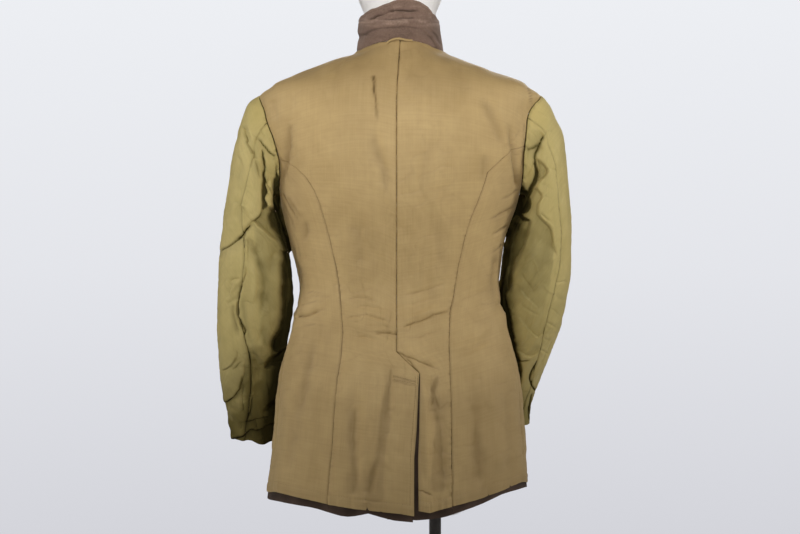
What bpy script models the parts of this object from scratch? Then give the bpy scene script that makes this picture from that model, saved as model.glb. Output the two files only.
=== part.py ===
"""Service jacket turned inside out, standing on a limbless dress form.

The lining is the outer face, the wool shell lies inside it, and the pockets
and buttons are on the shell's own right side, towards the form.
Metres, +Z up. The jacket's back faces -Y and its left side is at -X.
The origin is the middle of the stand's underside.
"""
import math

import bmesh
import bpy
from mathutils import Vector

for old in list(bpy.data.objects):
    bpy.data.objects.remove(old, do_unlink=True)

# ---------------------------------------------------------------- sizes
LINING = 0.0010          # wall of the body lining
SHELL_DEPTH = 0.0018     # lining's outer face to the shell's
SHELL = 0.0016           # wall of the wool shell
SLEEVE = 0.0018          # lining and wool of a sleeve as one wall
COLLAR = 0.0030          # wall of the doubled wool collar
POCKET_DEPTH = 0.0044    # lining's outer face to a pocket's
POCKET = 0.0012          # wall of a pocket or flap
FLAP_DEPTH = 0.0066      # lining's outer face to a flap's
SEAM = 0.00022           # pulled back from a seam by each of its two pieces
CENTRE_BACK = -0.0055    # x of the centre-back seam
VENT_TOP = 1.012         # height where the vent opens
VENT_EDGE = 0.0235       # x of the vent's upper flap edge
VENT_SHOWS = 0.0060      # shell strip that shows beside that edge
VENT_UNDER = -0.0200     # x of the under flap's hidden edge
LAP = 0.0250             # each front runs this far past the middle
LAP_DEPTH = 0.0046       # the under front is this far inside the upper one
ARM_TOP, ARM_LOW = 1.4393, 1.2745   # armhole's top and bottom
ARM_HALF = 0.0620        # armhole's half width, front to back
SIDE_SEAM = math.radians(98)
BACK_COLS, SIDE_COLS, FRONT_COLS = 7, 5, 8
POLE_X = 0.0590
POLE_R = 0.0100
BASE_R, BASE_H = 0.1750, 0.0080
FORM_LOW = 0.7375

# Body rings from hem to neck: heights at back, side and front, half widths
# left and right, depths behind and in front of the middle, squareness
RINGS = (
    # z_back  z_side  z_front  left    right   back    front   square
    (0.7450, 0.7450, 0.7450, 0.2265, 0.2185, 0.1570, 0.1420, 2.25),
    (0.8600, 0.8600, 0.8600, 0.2110, 0.2090, 0.1500, 0.1380, 2.30),
    (0.9700, 0.9700, 0.9700, 0.2000, 0.1980, 0.1370, 0.1330, 2.35),
    (1.0500, 1.0500, 1.0500, 0.1800, 0.1800, 0.1130, 0.1290, 2.40),
    (1.1150, 1.1150, 1.1150, 0.1685, 0.1660, 0.0970, 0.1250, 2.40),
    (1.1900, 1.1900, 1.1900, 0.1840, 0.1745, 0.1080, 0.1250, 2.40),
    (1.2500, 1.2500, 1.2500, 0.1985, 0.1940, 0.1210, 0.1260, 2.40),
    (1.3000, 1.3000, 1.3000, 0.2045, 0.2065, 0.1280, 0.1265, 2.45),
    (1.3550, 1.3480, 1.3450, 0.2145, 0.2150, 0.1295, 0.1260, 2.50),
    (1.4070, 1.4000, 1.3850, 0.2260, 0.2250, 0.1245, 0.1220, 2.55),
    (1.4450, 1.4395, 1.4150, 0.2325, 0.2305, 0.1140, 0.1120, 2.55),
    (1.4735, 1.4655, 1.4370, 0.1830, 0.1830, 0.1010, 0.0990, 2.40),
    (1.4930, 1.4845, 1.4500, 0.1330, 0.1270, 0.0885, 0.0865, 2.25),
    (1.5070, 1.5015, 1.4575, 0.0860, 0.0890, 0.0785, 0.0765, 2.10),
    (1.5160, 1.5160, 1.4620, 0.0725, 0.0735, 0.0720, 0.0700, 2.05),
)
ZB, ZS, ZF, LEFT, RIGHT, BACK, FRONT, SQUARE = range(8)
NECK = len(RINGS) - 1

# Ease of the jacket over the form, one row for each body ring
EASE = (
    # side    back    front   drop
    (0.0520, 0.0430, 0.0380, 0.000),
    (0.0430, 0.0330, 0.0300, 0.000),
    (0.0350, 0.0240, 0.0250, 0.000),
    (0.0280, 0.0190, 0.0230, 0.000),
    (0.0220, 0.0170, 0.0220, 0.000),
    (0.0230, 0.0170, 0.0200, 0.000),
    (0.0250, 0.0170, 0.0190, 0.000),
    (0.0260, 0.0150, 0.0180, 0.000),
    (0.0270, 0.0130, 0.0150, 0.002),
    (0.0300, 0.0110, 0.0120, 0.004),
    (0.0340, 0.0100, 0.0100, 0.006),
    (0.0100, 0.0090, 0.0090, 0.006),
    (0.0090, 0.0090, 0.0090, 0.006),
    (0.0090, 0.0095, 0.0095, 0.005),
)
# Neck of the form above the shoulders
FORM_NECK = (
    # height  at front  half width  half depth
    (1.5110, 1.4520, 0.0620, 0.0590),
    (1.5360, 1.4900, 0.0565, 0.0540),
    (1.5620, 1.5400, 0.0570, 0.0545),
    (1.5790, 1.5690, 0.0615, 0.0570),
    (1.5960, 1.5930, 0.0690, 0.0630),
    (1.6080, 1.6080, 0.0712, 0.0655),
    (1.6170, 1.6170, 0.0690, 0.0640),
    (1.6220, 1.6220, 0.0610, 0.0560),
)

# Back princess seams: height and distance from the middle
PRINCESS_LEFT = ((0.740, 0.1160), (0.797, 0.1137), (0.860, 0.1080), (0.918, 0.1040), (0.976, 0.0992), (1.007, 0.0940),
                 (1.046, 0.0917), (1.104, 0.0970), (1.151, 0.1035), (1.180, 0.1100), (1.213, 0.1180), (1.252, 0.1290),
                 (1.274, 0.1390), (1.294, 0.1520), (1.310, 0.1690))
PRINCESS_RIGHT = ((0.740, 0.0825), (0.847, 0.0817), (0.936, 0.0810), (1.024, 0.0780), (1.080, 0.0810), (1.104, 0.0870),
                  (1.151, 0.0940), (1.189, 0.1030), (1.222, 0.1120), (1.247, 0.1220), (1.279, 0.1340), (1.301, 0.1410),
                  (1.314, 0.1550), (1.337, 0.1790))
JOIN_LEFT, JOIN_RIGHT = 112.0, 97.0   # where they meet the armhole, degrees round it from the top

# Hem heights round the body: degrees from the middle of the back, lining, shell
HEM = ((-180, 0.780, 0.770), (-130, 0.779, 0.769), (-90, 0.775, 0.765), (-70, 0.778, 0.7690), (-52, 0.779, 0.7705), (-38, 0.777, 0.7690),
       (-24, 0.772, 0.762), (-8, 0.767, 0.7595), (8.8, 0.7625, 0.756), (10.3, 0.7700, 0.7590), (20, 0.7710, 0.7610),
       (35, 0.780, 0.7720), (50, 0.788, 0.7835), (70, 0.791, 0.7850), (90, 0.792, 0.7850), (130, 0.786, 0.776),
       (180, 0.780, 0.770))

# Sleeve rings below the armhole: outer edge and inner edge of each, half
# thickness across that, turn of the seams round the ring in degrees
SLEEVE_LEFT = (
    # x_out   y_out   z_out   x_in    y_in    z_in    half    turn
    (0.2530, 0.0000, 1.4250, 0.2110, 0.0000, 1.2690, 0.0630, 0),
    (0.2635, 0.0000, 1.4010, 0.2080, 0.0010, 1.2560, 0.0640, 0),
    (0.2735, 0.0000, 1.3680, 0.2030, 0.0020, 1.2380, 0.0640, 0),
    (0.2815, 0.0000, 1.3260, 0.1970, 0.0040, 1.2160, 0.0620, -2),
    (0.2900, 0.0020, 1.2760, 0.1905, 0.0060, 1.1900, 0.0600, -4),
    (0.2995, 0.0050, 1.2160, 0.1840, 0.0100, 1.1560, 0.0570, -4),
    (0.3060, 0.0090, 1.1520, 0.1815, 0.0160, 1.1140, 0.0550, -4),
    (0.3095, 0.0160, 1.0820, 0.1845, 0.0280, 1.0640, 0.0520, -4),
    (0.3095, 0.0260, 1.0130, 0.1950, 0.0440, 1.0060, 0.0490, -4),
    (0.3050, 0.0380, 0.9420, 0.2020, 0.0640, 0.9400, 0.0450, -4),
    (0.2955, 0.0500, 0.8880, 0.2050, 0.0800, 0.8860, 0.0420, -4),
    (0.2890, 0.0560, 0.8520, 0.2070, 0.0880, 0.8460, 0.0410, -4),
)
SLEEVE_RIGHT = (
    (0.2500, 0.0000, 1.4230, 0.2120, 0.0000, 1.2690, 0.0630, -4),
    (0.2600, 0.0000, 1.4010, 0.2090, 0.0010, 1.2560, 0.0640, -12),
    (0.2725, 0.0000, 1.3730, 0.2025, 0.0020, 1.2380, 0.0640, -22),
    (0.2785, 0.0000, 1.3280, 0.1930, 0.0040, 1.2150, 0.0620, -30),
    (0.2835, 0.0020, 1.2800, 0.1865, 0.0080, 1.1880, 0.0590, -36),
    (0.2885, 0.0060, 1.2260, 0.1815, 0.0140, 1.1550, 0.0550, -38),
    (0.2895, 0.0120, 1.1640, 0.1760, 0.0240, 1.1180, 0.0510, -36),
    (0.2850, 0.0220, 1.1050, 0.1770, 0.0440, 1.0800, 0.0470, -34),
    (0.2735, 0.0380, 1.0470, 0.1770, 0.0760, 1.0340, 0.0420, -30),
    (0.2570, 0.0600, 0.9940, 0.1740, 0.1080, 0.9880, 0.0370, -26),
    (0.2375, 0.0840, 0.9420, 0.1690, 0.1360, 0.9420, 0.0330, -22),
    (0.2265, 0.1000, 0.9020, 0.1650, 0.1520, 0.9020, 0.0330, -20),
    (0.2250, 0.1060, 0.8720, 0.1640, 0.1560, 0.8760, 0.0330, -20),
)
SLEEVE_BACK_SEAM, SLEEVE_FRONT_SEAM = 80.0, 265.0   # degrees round the armhole

# Collar rows from the neck seam up: height at back, side and front,
# half widths left and right, depths behind and in front
COLLAR_ROWS = (
    (1.5170, 1.5170, 1.4634, 0.0726, 0.0736, 0.0721, 0.0700),
    (1.5330, 1.5310, 1.4740, 0.0718, 0.0705, 0.0742, 0.0720),
    (1.5500, 1.5460, 1.4860, 0.0712, 0.0680, 0.0735, 0.0730),
    (1.5680, 1.5600, 1.4980, 0.0700, 0.0680, 0.0715, 0.0740),
    (1.5810, 1.5690, 1.5060, 0.0690, 0.0685, 0.0700, 0.0750),
)
COLLAR_COLS = 18
COLLAR_END = math.radians(168)

# Pockets on the fronts: first and last column of the front's grid, heights of
# the pocket's bottom and top and of the flap's
POCKETS = {"chest": ((2, 5), 1.120, 1.257, 1.200, 1.2745), "skirt": ((1, 5), 0.835, 0.990, 0.945, 1.012)}
BUTTON_HEIGHTS = (1.050, 1.145, 1.240, 1.335)
BUTTON_R, BUTTON_H = 0.0110, 0.0026


# ---------------------------------------------------------------- curves
def rows_at(table, t):
    """Smooth value of every column of a table at row t, counted from 0."""
    last = len(table) - 1
    t = min(max(t, 0.0), float(last))
    k = min(int(t), last - 1)
    u = t - k
    out = []
    for c in range(len(table[0])):
        p1, p2 = table[k][c], table[k + 1][c]
        p0 = table[k - 1][c] if k > 0 else 2 * p1 - p2
        p3 = table[k + 2][c] if k + 2 <= last else 2 * p2 - p1
        m1, m2 = (p2 - p0) / 2, (p3 - p1) / 2
        out.append(p1 + u * (m1 + u * (3 * (p2 - p1) - 2 * m1 - m2 + u * (m1 + m2 - 2 * (p2 - p1)))))
    return out


def lookup(table, x, col=1):
    """Straight-line lookup in rows sorted by their first column."""
    if x <= table[0][0]:
        return table[0][col]
    for a, b in zip(table, table[1:]):
        if x <= b[0]:
            return a[col] + (b[col] - a[col]) * (x - a[0]) / (b[0] - a[0])
    return table[-1][col]


def step(a, b, x):
    u = min(max((x - a) / (b - a), 0.0), 1.0)
    return u * u * (3 - 2 * u)


# ---------------------------------------------------------------- body surface
def ring_point(row, th):
    """Point of one ring at angle th from the middle of the back, +X positive."""
    s, c = math.sin(th), math.cos(th)
    half = row[RIGHT] if s >= 0 else row[LEFT]
    depth = row[BACK] if c >= 0 else row[FRONT]
    n = row[SQUARE]
    r = ((abs(s) / half) ** n + (abs(c) / depth) ** n) ** (-1.0 / n)
    z = row[ZS] + ((row[ZB] if c >= 0 else row[ZF]) - row[ZS]) * c * c
    return Vector((r * s, -r * c, z))


def body(th, t):
    return ring_point(rows_at(RINGS, t), th)


def outward(th, t):
    """Unit normal of the body surface."""
    e = 1e-3
    along = body(th + e, t) - body(th - e, t)
    up = body(th, min(t + e, NECK)) - body(th, max(t - e, 0))
    return along.cross(up).normalized()


def level(z, column=ZS):
    """Row of the ring table whose height in that column is z."""
    lo, hi = 0.0, float(NECK)
    for _ in range(40):
        mid = (lo + hi) / 2
        if rows_at(RINGS, mid)[column] < z:
            lo = mid
        else:
            hi = mid
    return (lo + hi) / 2


def angle_at_x(t, x, behind=True):
    row = rows_at(RINGS, t)
    half = row[RIGHT] if x >= 0 else row[LEFT]
    depth = row[BACK] if behind else row[FRONT]
    u = min(abs(x) / half, 1.0)
    y = depth * (1 - u ** row[SQUARE]) ** (1 / row[SQUARE])
    return math.atan2(x, y) if behind else math.atan2(x, -y)


def angle_at_y(t, y, side):
    row = rows_at(RINGS, t)
    half = row[RIGHT] if side > 0 else row[LEFT]
    depth = row[BACK] if y < 0 else row[FRONT]
    x = half * (1 - min(abs(y) / depth, 1.0) ** row[SQUARE]) ** (1 / row[SQUARE])
    return math.atan2(x, -y)


def armhole(deg, side):
    """Angle (unsigned) and row of the armhole at deg round it: 0 top, 90 back."""
    a = math.radians(deg)
    z = (ARM_TOP + ARM_LOW) / 2 + (ARM_TOP - ARM_LOW) / 2 * math.cos(a)
    t = level(z)
    lean = 0.010 * (1 - math.cos(a)) / 2          # the low end sits a little forward
    return angle_at_y(t, -ARM_HALF * math.sin(a) + lean, side), t


def round_armhole(side):
    """Degrees round the armhole shared by the body pieces and the sleeve."""
    join = JOIN_RIGHT if side > 0 else JOIN_LEFT
    back = [0, 26, 54, 80, join]
    low = [join + (180 - join) * k / SIDE_COLS for k in range(1, SIDE_COLS + 1)]
    front = [203, 223, 244, 265, 290, 315, 338, 360]
    return back, low, front


def hem_row(th, layer):
    deg = math.degrees(math.atan2(math.sin(th), math.cos(th)))
    return level(lookup(HEM, deg, layer))


# ---------------------------------------------------------------- meshes
collection = bpy.data.collections.new("inside_out_service_jacket")
bpy.context.scene.collection.children.link(collection)


def material(name, colour, rough, metal=0.0):
    m = bpy.data.materials.new(name)
    m.use_nodes = True
    bsdf = m.node_tree.nodes["Principled BSDF"]
    bsdf.inputs["Base Color"].default_value = (*colour, 1)
    bsdf.inputs["Roughness"].default_value = rough
    bsdf.inputs["Metallic"].default_value = metal
    return m


TAN = material("lining_tan", (0.44, 0.32, 0.16), 0.55)
OLIVE = material("lining_olive", (0.46, 0.37, 0.18), 0.5)
WOOL = material("wool_brown", (0.16, 0.105, 0.075), 0.95)
BRASS = material("button_brass", (0.45, 0.30, 0.10), 0.35, 1.0)
WHITE = material("form_white", (0.76, 0.74, 0.72), 0.6)
STEEL = material("stand_steel", (0.035, 0.030, 0.027), 0.4, 0.8)


def finish(name, mesh, mat, smooth=True):
    obj = bpy.data.objects.new(name, mesh)
    collection.objects.link(obj)
    mesh.materials.append(mat)
    if smooth:
        mesh.shade_smooth()
    return obj


def sheet(name, grid, wall, mat, normals):
    """Open surface half a wall inside a grid of points, thickened to both sides."""
    bm = bmesh.new()
    verts = [[bm.verts.new(p - n * wall / 2) for p, n in zip(line, ns)] for line, ns in zip(grid, normals)]
    for i in range(len(grid) - 1):
        for j in range(len(grid[0]) - 1):
            corners = [verts[i][j], verts[i][j + 1], verts[i + 1][j + 1], verts[i + 1][j]]
            bm.faces.new(corners)
    bm.normal_update()
    facing = sum(v.normal.dot(n) for line, ns in zip(verts, normals) for v, n in zip(line, ns))
    if facing < 0:
        bmesh.ops.reverse_faces(bm, faces=bm.faces)
    mesh = bpy.data.meshes.new(name)
    bm.to_mesh(mesh)
    bm.free()
    obj = finish(name, mesh, mat)
    thick = obj.modifiers.new("wall", "SOLIDIFY")
    thick.thickness = wall
    thick.offset = 0.0
    return obj


def pull_edges(grid, gap=SEAM, left=True, right=True, high=False):
    """Draws a piece back from the seams round it, square to each seam."""
    def drawn(edge, inner):
        out = []
        for k, (a, b) in enumerate(zip(edge, inner)):
            along = (edge[min(k + 1, len(edge) - 1)] - edge[max(k - 1, 0)]).normalized()
            across = (b - a) - along * (b - a).dot(along)
            out.append(a + across.normalized() * gap)
        return out
    if left:
        for line, p in zip(grid, drawn([line[0] for line in grid], [line[1] for line in grid])):
            line[0] = p
    if right:
        for line, p in zip(grid, drawn([line[-1] for line in grid], [line[-2] for line in grid])):
            line[-1] = p
    if high:
        grid[-1] = drawn(grid[-1], grid[-2])


def body_grid(angles, depth):
    """Points at (angle, row, extra depth) triples, moved in by depth."""
    grid, normals = [], []
    for line in angles:
        n = [outward(th, t) for th, t, _ in line]
        grid.append([body(th, t) - v * (depth + extra) for (th, t, extra), v in zip(line, n)])
        normals.append(n)
    return grid, normals


# ---------------------------------------------------------------- body pieces
def back_rows(side):
    """Rows of a back piece above the hem, and how many lie under the armhole."""
    low = [level(z) for z in (0.835, 0.945, 0.990, 1.012, 1.036, 1.060, 1.120, 1.190, 1.262)]
    back, _, _ = round_armhole(side)
    join = armhole(back[-1], side)[1]
    low += [level(1.262) + (join - level(1.262)) * 0.55, join]
    return low, [armhole(d, side)[1] for d in reversed(back[:-1])] + [NECK - 3.0, NECK - 2.0, NECK - 1.0, float(NECK)]


def princess(t, side):
    z = rows_at(RINGS, t)[ZS]
    table = PRINCESS_RIGHT if side > 0 else PRINCESS_LEFT
    th, join = armhole(JOIN_RIGHT if side > 0 else JOIN_LEFT, side)
    x_join = abs(body(side * th, join).x)
    return angle_at_x(t, side * lookup(table + ((rows_at(RINGS, join)[ZS], x_join),), z))


def back_edge(t, side, layer):
    """Angle of a back piece's edge at the middle, with the vent's flaps."""
    z = rows_at(RINGS, t)[ZS]
    opened = 1 - step(VENT_TOP - 0.030, VENT_TOP + 0.024, z)
    if side < 0:
        edge = VENT_EDGE - (0.0015 if layer == 2 else 0.0)
    else:
        edge = VENT_EDGE + VENT_SHOWS if layer == 1 else VENT_UNDER
    sunk = 1 - step(VENT_TOP + 0.024, VENT_TOP + 0.048, z)   # the under flap drops in before it spreads
    return angle_at_x(t, CENTRE_BACK + (edge - CENTRE_BACK) * opened), sunk


def back_piece(side, layer):
    low, high = back_rows(side)
    back, _, _ = round_armhole(side)
    outer = [(princess(t, side), t) for t in low[:-1]]
    outer.append((side * armhole(back[-1], side)[0], low[-1]))
    outer += [(side * armhole(d, side)[0], t) for d, t in zip(reversed(back[:-1]), high)]
    outer += [(side * math.pi / 2, t) for t in high[len(back) - 1:]]
    lines = []
    for k, (th_out, t) in enumerate([(None, None)] + outer):
        line = []
        for j in range(BACK_COLS + 1):
            u = j / BACK_COLS
            tt = t
            if k == 0:
                tt = hem_row(side * 0.5 * u, layer)
                for _ in range(2):                       # the hem's row depends on where it lies
                    th0, _ = back_edge(tt, side, layer)
                    th = th0 + (princess(tt, side) - th0) * u
                    if side < 0:
                        th = min(th, math.radians(8.8))
                    elif layer == 1:
                        th = max(th, math.radians(10.3))
                    tt = hem_row(th, layer)
                th_end = princess(tt, side)
            else:
                th_end = th_out
            th0, sunk = back_edge(tt, side, layer)
            th = th0 + (th_end - th0) * u
            extra = 0.0
            if side > 0 and layer == 2:                  # the under flap passes inside the upper one
                x = body(th, tt).x
                extra = 0.0032 * sunk * (1 - step(0.030, 0.056, x))
            line.append((th, tt, extra))
        lines.append(line)
    return lines


def side_piece(side, layer):
    """Piece from the princess seam to the side seam, under the armhole."""
    low, _ = back_rows(side)
    join_deg = JOIN_RIGHT if side > 0 else JOIN_LEFT
    _, rim, _ = round_armhole(side)
    top = [armhole(join_deg, side)] + [armhole(d, side) for d in rim]
    under = front_rows(side)[0]
    lines = []
    count = len(low)
    for k in range(count + 1):
        line = []
        for j in range(SIDE_COLS + 1):
            u = j / SIDE_COLS
            if k == 0:
                th_a, th_b = princess(low[0], side), side * SIDE_SEAM
                th = th_a + (th_b - th_a) * u
                t = hem_row(th, layer)
                th_a = princess(t, side)
                th = th_a + (th_b - th_a) * u
                t = hem_row(th, layer)
            else:
                ta, tb = low[k - 1], under[k - 1]
                th_a = princess(ta, side) if k < count else side * top[0][0]
                th_b = side_edge(tb, side)
                t = ta + (tb - ta) * u
                th = th_a + (th_b - th_a) * u
                # the upper rows bend to the armhole's curve
                w = max(0.0, (k - (count - 4)) / 4.0) ** 1.5
                th_c, t_c = side * top[j][0], top[j][1]
                t_flat = top[0][1] + (top[-1][1] - top[0][1]) * u
                th_flat = side * (top[0][0] + (top[-1][0] - top[0][0]) * u)
                t += (t_c - t_flat) * w
                th += (th_c - th_flat) * w
            line.append((th, t, 0.0))
        lines.append(line)
    return lines


def front_rows(side):
    low = [level(z) for z in (0.835, 0.945, 0.990, 1.012, 1.036, 1.060, 1.120, 1.200, 1.235, 1.257)]
    _, rim, front = round_armhole(side)
    low.append(armhole(rim[-1], side)[1])
    return low, [armhole(d, side)[1] for d in front] + [NECK - 3.0, NECK - 2.0, NECK - 1.0, float(NECK)]


def side_edge(t, side):
    th_low = armhole(180, side)[0]
    z = rows_at(RINGS, t)[ZS]
    return side * (SIDE_SEAM + (th_low - SIDE_SEAM) * step(1.15, ARM_LOW, z))


def front_piece(side, layer):
    low, high = front_rows(side)
    _, _, front = round_armhole(side)
    outer = [(side_edge(t, side), t) for t in low]
    outer += [(side * armhole(d, side)[0], t) for d, t in zip(front, high)]
    outer += [(side * math.pi / 2, t) for t in high[len(front):]]
    lines = []
    for k in range(len(outer) + 1):
        line = []
        for j in range(FRONT_COLS + 1):
            u = j / FRONT_COLS
            t = outer[max(k - 1, 0)][1]
            th_a = outer[max(k - 1, 0)][0]
            if k == 0:
                th_a = side * SIDE_SEAM
                th = th_a + (side * math.pi - th_a) * u
                t = hem_row(th, layer)
            x_lap = -side * LAP * (1 - step(NECK - 3.0, NECK, t) * 0.55)
            th_b = angle_at_x(t, x_lap, behind=False)
            if side * th_b < 0:
                th_b += side * 2 * math.pi
            th = th_a + (th_b - th_a) * u
            extra = 0.0
            if side > 0:                                 # the right front lies under the left
                extra = LAP_DEPTH * (1 - step(0.026, 0.046, body(th, t).x))
            line.append((th, t, extra))
        lines.append(line)
    return lines


BODY_PIECES = {"back": back_piece, "side": side_piece, "front": front_piece}
for side, which in ((-1, "left"), (1, "right")):
    for part, maker in BODY_PIECES.items():
        for layer, label, depth, wall, mat in ((1, "lining", 0.0, LINING, TAN), (2, "shell", SHELL_DEPTH, SHELL, WOOL)):
            grid, normals = body_grid(maker(side, layer), depth)
            pull_edges(grid, high=True)
            sheet(f"{label}_{part}_{which}", grid, wall, mat, normals)


# ---------------------------------------------------------------- sleeves
def sleeve_ring(row, side, deg):
    x_out, y_out, z_out, x_in, y_in, z_in, half, turn = row
    a = math.radians(deg + turn)
    outer, inner = Vector((side * x_out, y_out, z_out)), Vector((side * x_in, y_in, z_in))
    mid, axis = (outer + inner) / 2, (outer - inner) / 2
    across = axis.cross(Vector((side * axis.z, 0, -side * axis.x))).normalized()
    flat = Vector((axis.x, axis.y, 0)).normalized() if abs(axis.z) < 0.5 * axis.length else None
    if flat is not None:
        across = Vector((flat.y, -flat.x, 0)) * side
    else:
        across = Vector((0, -1, 0))
    return mid + axis * math.cos(a) + across * half * math.sin(a)


def sleeve_point(table, side, deg, v):
    """Sleeve surface at deg round the armhole and v rings down from it."""
    last = len(table)
    th, t = armhole(deg, side)
    rings = [body(side * th, t)] + [sleeve_ring(row, side, deg) for row in table]
    return Vector(rows_at([tuple(p) for p in rings], v))


def sleeve_piece(side, degs):
    table = SLEEVE_RIGHT if side > 0 else SLEEVE_LEFT
    steps = [0.0, 0.5] + [1.5 + 1.25 * k for k in range(int((len(table) - 2) / 1.25) + 1)] + [float(len(table))]
    grid, normals = [], []
    for v in steps:
        line, axis = [], []
        mid = sum((sleeve_point(table, side, d, v) for d in range(0, 360, 30)), Vector()) / 12
        for d in degs:
            p = sleeve_point(table, side, d, v)
            line.append(p)
            axis.append((p - mid).normalized())
        grid.append(line)
        normals.append(axis)
    pull_edges(grid, gap=2 * SEAM)
    grid[0] = [a + (b - a).normalized() * 4 * SEAM for a, b in zip(grid[0], grid[1])]
    return grid, normals


for side, which in ((-1, "left"), (1, "right")):
    back, low, front = round_armhole(side)
    under = [d for d in back if d >= SLEEVE_BACK_SEAM] + low + [d for d in front if d <= SLEEVE_FRONT_SEAM]
    over = [d - 360 for d in front if d >= SLEEVE_FRONT_SEAM] + [d for d in back[1:] if d <= SLEEVE_BACK_SEAM]
    for label, degs in (("sleeve_top", over), ("sleeve_under", under)):
        grid, normals = sleeve_piece(side, degs)
        sheet(f"{label}_{which}", grid, SLEEVE, OLIVE, normals)


# ---------------------------------------------------------------- collar and hanger loop
def collar_point(th, v, out=0.0):
    zb, zs, zf, left, right, deep, fore = rows_at(COLLAR_ROWS, v)
    p = ring_point((zb, zs, zf, left + out, right + out, deep + out, fore + out, 2.05), th)
    return p


grid, normals = [], []
for v in range(len(COLLAR_ROWS)):
    angles = [-COLLAR_END + 2 * COLLAR_END * k / COLLAR_COLS for k in range(COLLAR_COLS + 1)]
    grid.append([collar_point(th, v) for th in angles])
    normals.append([Vector((math.sin(th), -math.cos(th), 0)) for th in angles])
sheet("collar", grid, COLLAR, WOOL, normals)

LOOP_HALF, LOOP_TALL = 0.0220, 0.0045
grid, normals = [], []
for k in range(3):
    line, ns = [], []
    for j in range(9):
        u = -1 + 2 * j / 8
        th = math.atan2(u * LOOP_HALF + 0.001, 0.073)
        p = collar_point(th, 0.15, 0.0024 + 0.0035 * (1 - u * u))
        line.append(Vector((p.x, p.y, 1.5140 + 0.0040 * (1 - u * u) + LOOP_TALL * k / 2)))
        ns.append(Vector((0, -1, 0)))
    grid.append(line)
    normals.append(ns)
sheet("hanger_loop", grid, 0.0010, TAN, normals)


# ---------------------------------------------------------------- pockets and buttons on the turned-in side
def patch(side, columns, z0, z1, depth):
    """Part of a front's own grid between two heights, moved in to a depth."""
    lines = front_piece(side, 2)
    heights = [rows_at(RINGS, line[0][1])[ZS] for line in lines]
    kept = [line[columns[0]:columns[1] + 1] for line, z in zip(lines, heights) if z0 - 0.002 < z < z1 + 0.002]
    return body_grid(kept, depth)


for side, which in ((-1, "left"), (1, "right")):
    for name, (columns, low, top, flap_low, flap_top) in POCKETS.items():
        grid, normals = patch(side, columns, low, top, POCKET_DEPTH)
        sheet(f"pocket_{name}_{which}", grid, POCKET, WOOL, normals)
        grid, normals = patch(side, columns, flap_low, flap_top, FLAP_DEPTH)
        sheet(f"flap_{name}_{which}", grid, POCKET, WOOL, normals)

for k, z in enumerate(BUTTON_HEIGHTS):
    t = level(z, ZF)
    th = angle_at_x(t, 0.004, behind=False)
    n = outward(th, t)
    at = body(th, t) - n * (SHELL_DEPTH + SHELL + LAP_DEPTH + 0.0006 + BUTTON_H / 2)
    bm = bmesh.new()
    bmesh.ops.create_cone(bm, cap_ends=True, segments=20, radius1=BUTTON_R, radius2=BUTTON_R * 0.9, depth=BUTTON_H)
    mesh = bpy.data.meshes.new(f"button_{k + 1}")
    bm.to_mesh(mesh)
    bm.free()
    obj = finish(f"button_{k + 1}", mesh, BRASS, smooth=False)
    obj.location = at
    obj.rotation_euler = (-n).to_track_quat("Z", "Y").to_euler()


# ---------------------------------------------------------------- dress form and stand
# the form's round underside, drawn in towards the pole: share of the ring, rise above the lowest point, shift in x
FORM_FOOT = ((0.30, 0.0000, 0.046), (0.46, 0.0100, 0.040), (0.64, 0.0220, 0.030), (0.80, 0.0390, 0.018),
             (0.92, 0.0590, 0.008), (0.985, 0.0820, 0.001))


def form_rings():
    rings = []
    first = RINGS[0]
    for share, rise, _ in FORM_FOOT:
        row = list(first)
        row[ZB] = row[ZS] = row[ZF] = FORM_LOW + rise
        row[LEFT] = row[RIGHT] = ((first[LEFT] + first[RIGHT]) / 2 - EASE[0][0]) * share
        row[BACK], row[FRONT] = (first[BACK] - EASE[0][1]) * share, (first[FRONT] - EASE[0][2]) * share
        rings.append(row)
    for base, (e_side, e_back, e_front, drop) in list(zip(RINGS, EASE))[1:]:
        row = list(base)
        for c in (ZB, ZS, ZF):
            row[c] -= drop
        half = (base[LEFT] + base[RIGHT]) / 2 - e_side
        row[LEFT] = row[RIGHT] = half
        row[BACK] -= e_back
        row[FRONT] -= e_front
        rings.append(row)
    for z, z_front, half, deep in FORM_NECK:
        rings.append([z, z, z_front, half, half, deep, deep, 2.0])
    return rings


def form_mesh(rings, around, between):
    bm = bmesh.new()
    count = (len(rings) - 1) * between
    loops = []
    for i in range(count + 1):
        v = i / between
        row = rows_at(rings, v)
        over = Vector((FORM_FOOT[i][2] if i < len(FORM_FOOT) else 0.0, 0.0, 0.0))
        loops.append([bm.verts.new(Vector(ring_point(row, 2 * math.pi * k / around)) + over) for k in range(around)])
    for a, b in zip(loops, loops[1:]):
        for k in range(around):
            m = (k + 1) % around
            bm.faces.new((a[k], a[m], b[m], b[k]))
    bm.faces.new(list(reversed(loops[0])))
    bm.faces.new(loops[-1])
    bmesh.ops.recalc_face_normals(bm, faces=bm.faces)
    mesh = bpy.data.meshes.new("dress_form")
    bm.to_mesh(mesh)
    bm.free()
    return mesh


finish("dress_form", form_mesh(form_rings(), 36, 1), WHITE)

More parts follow.
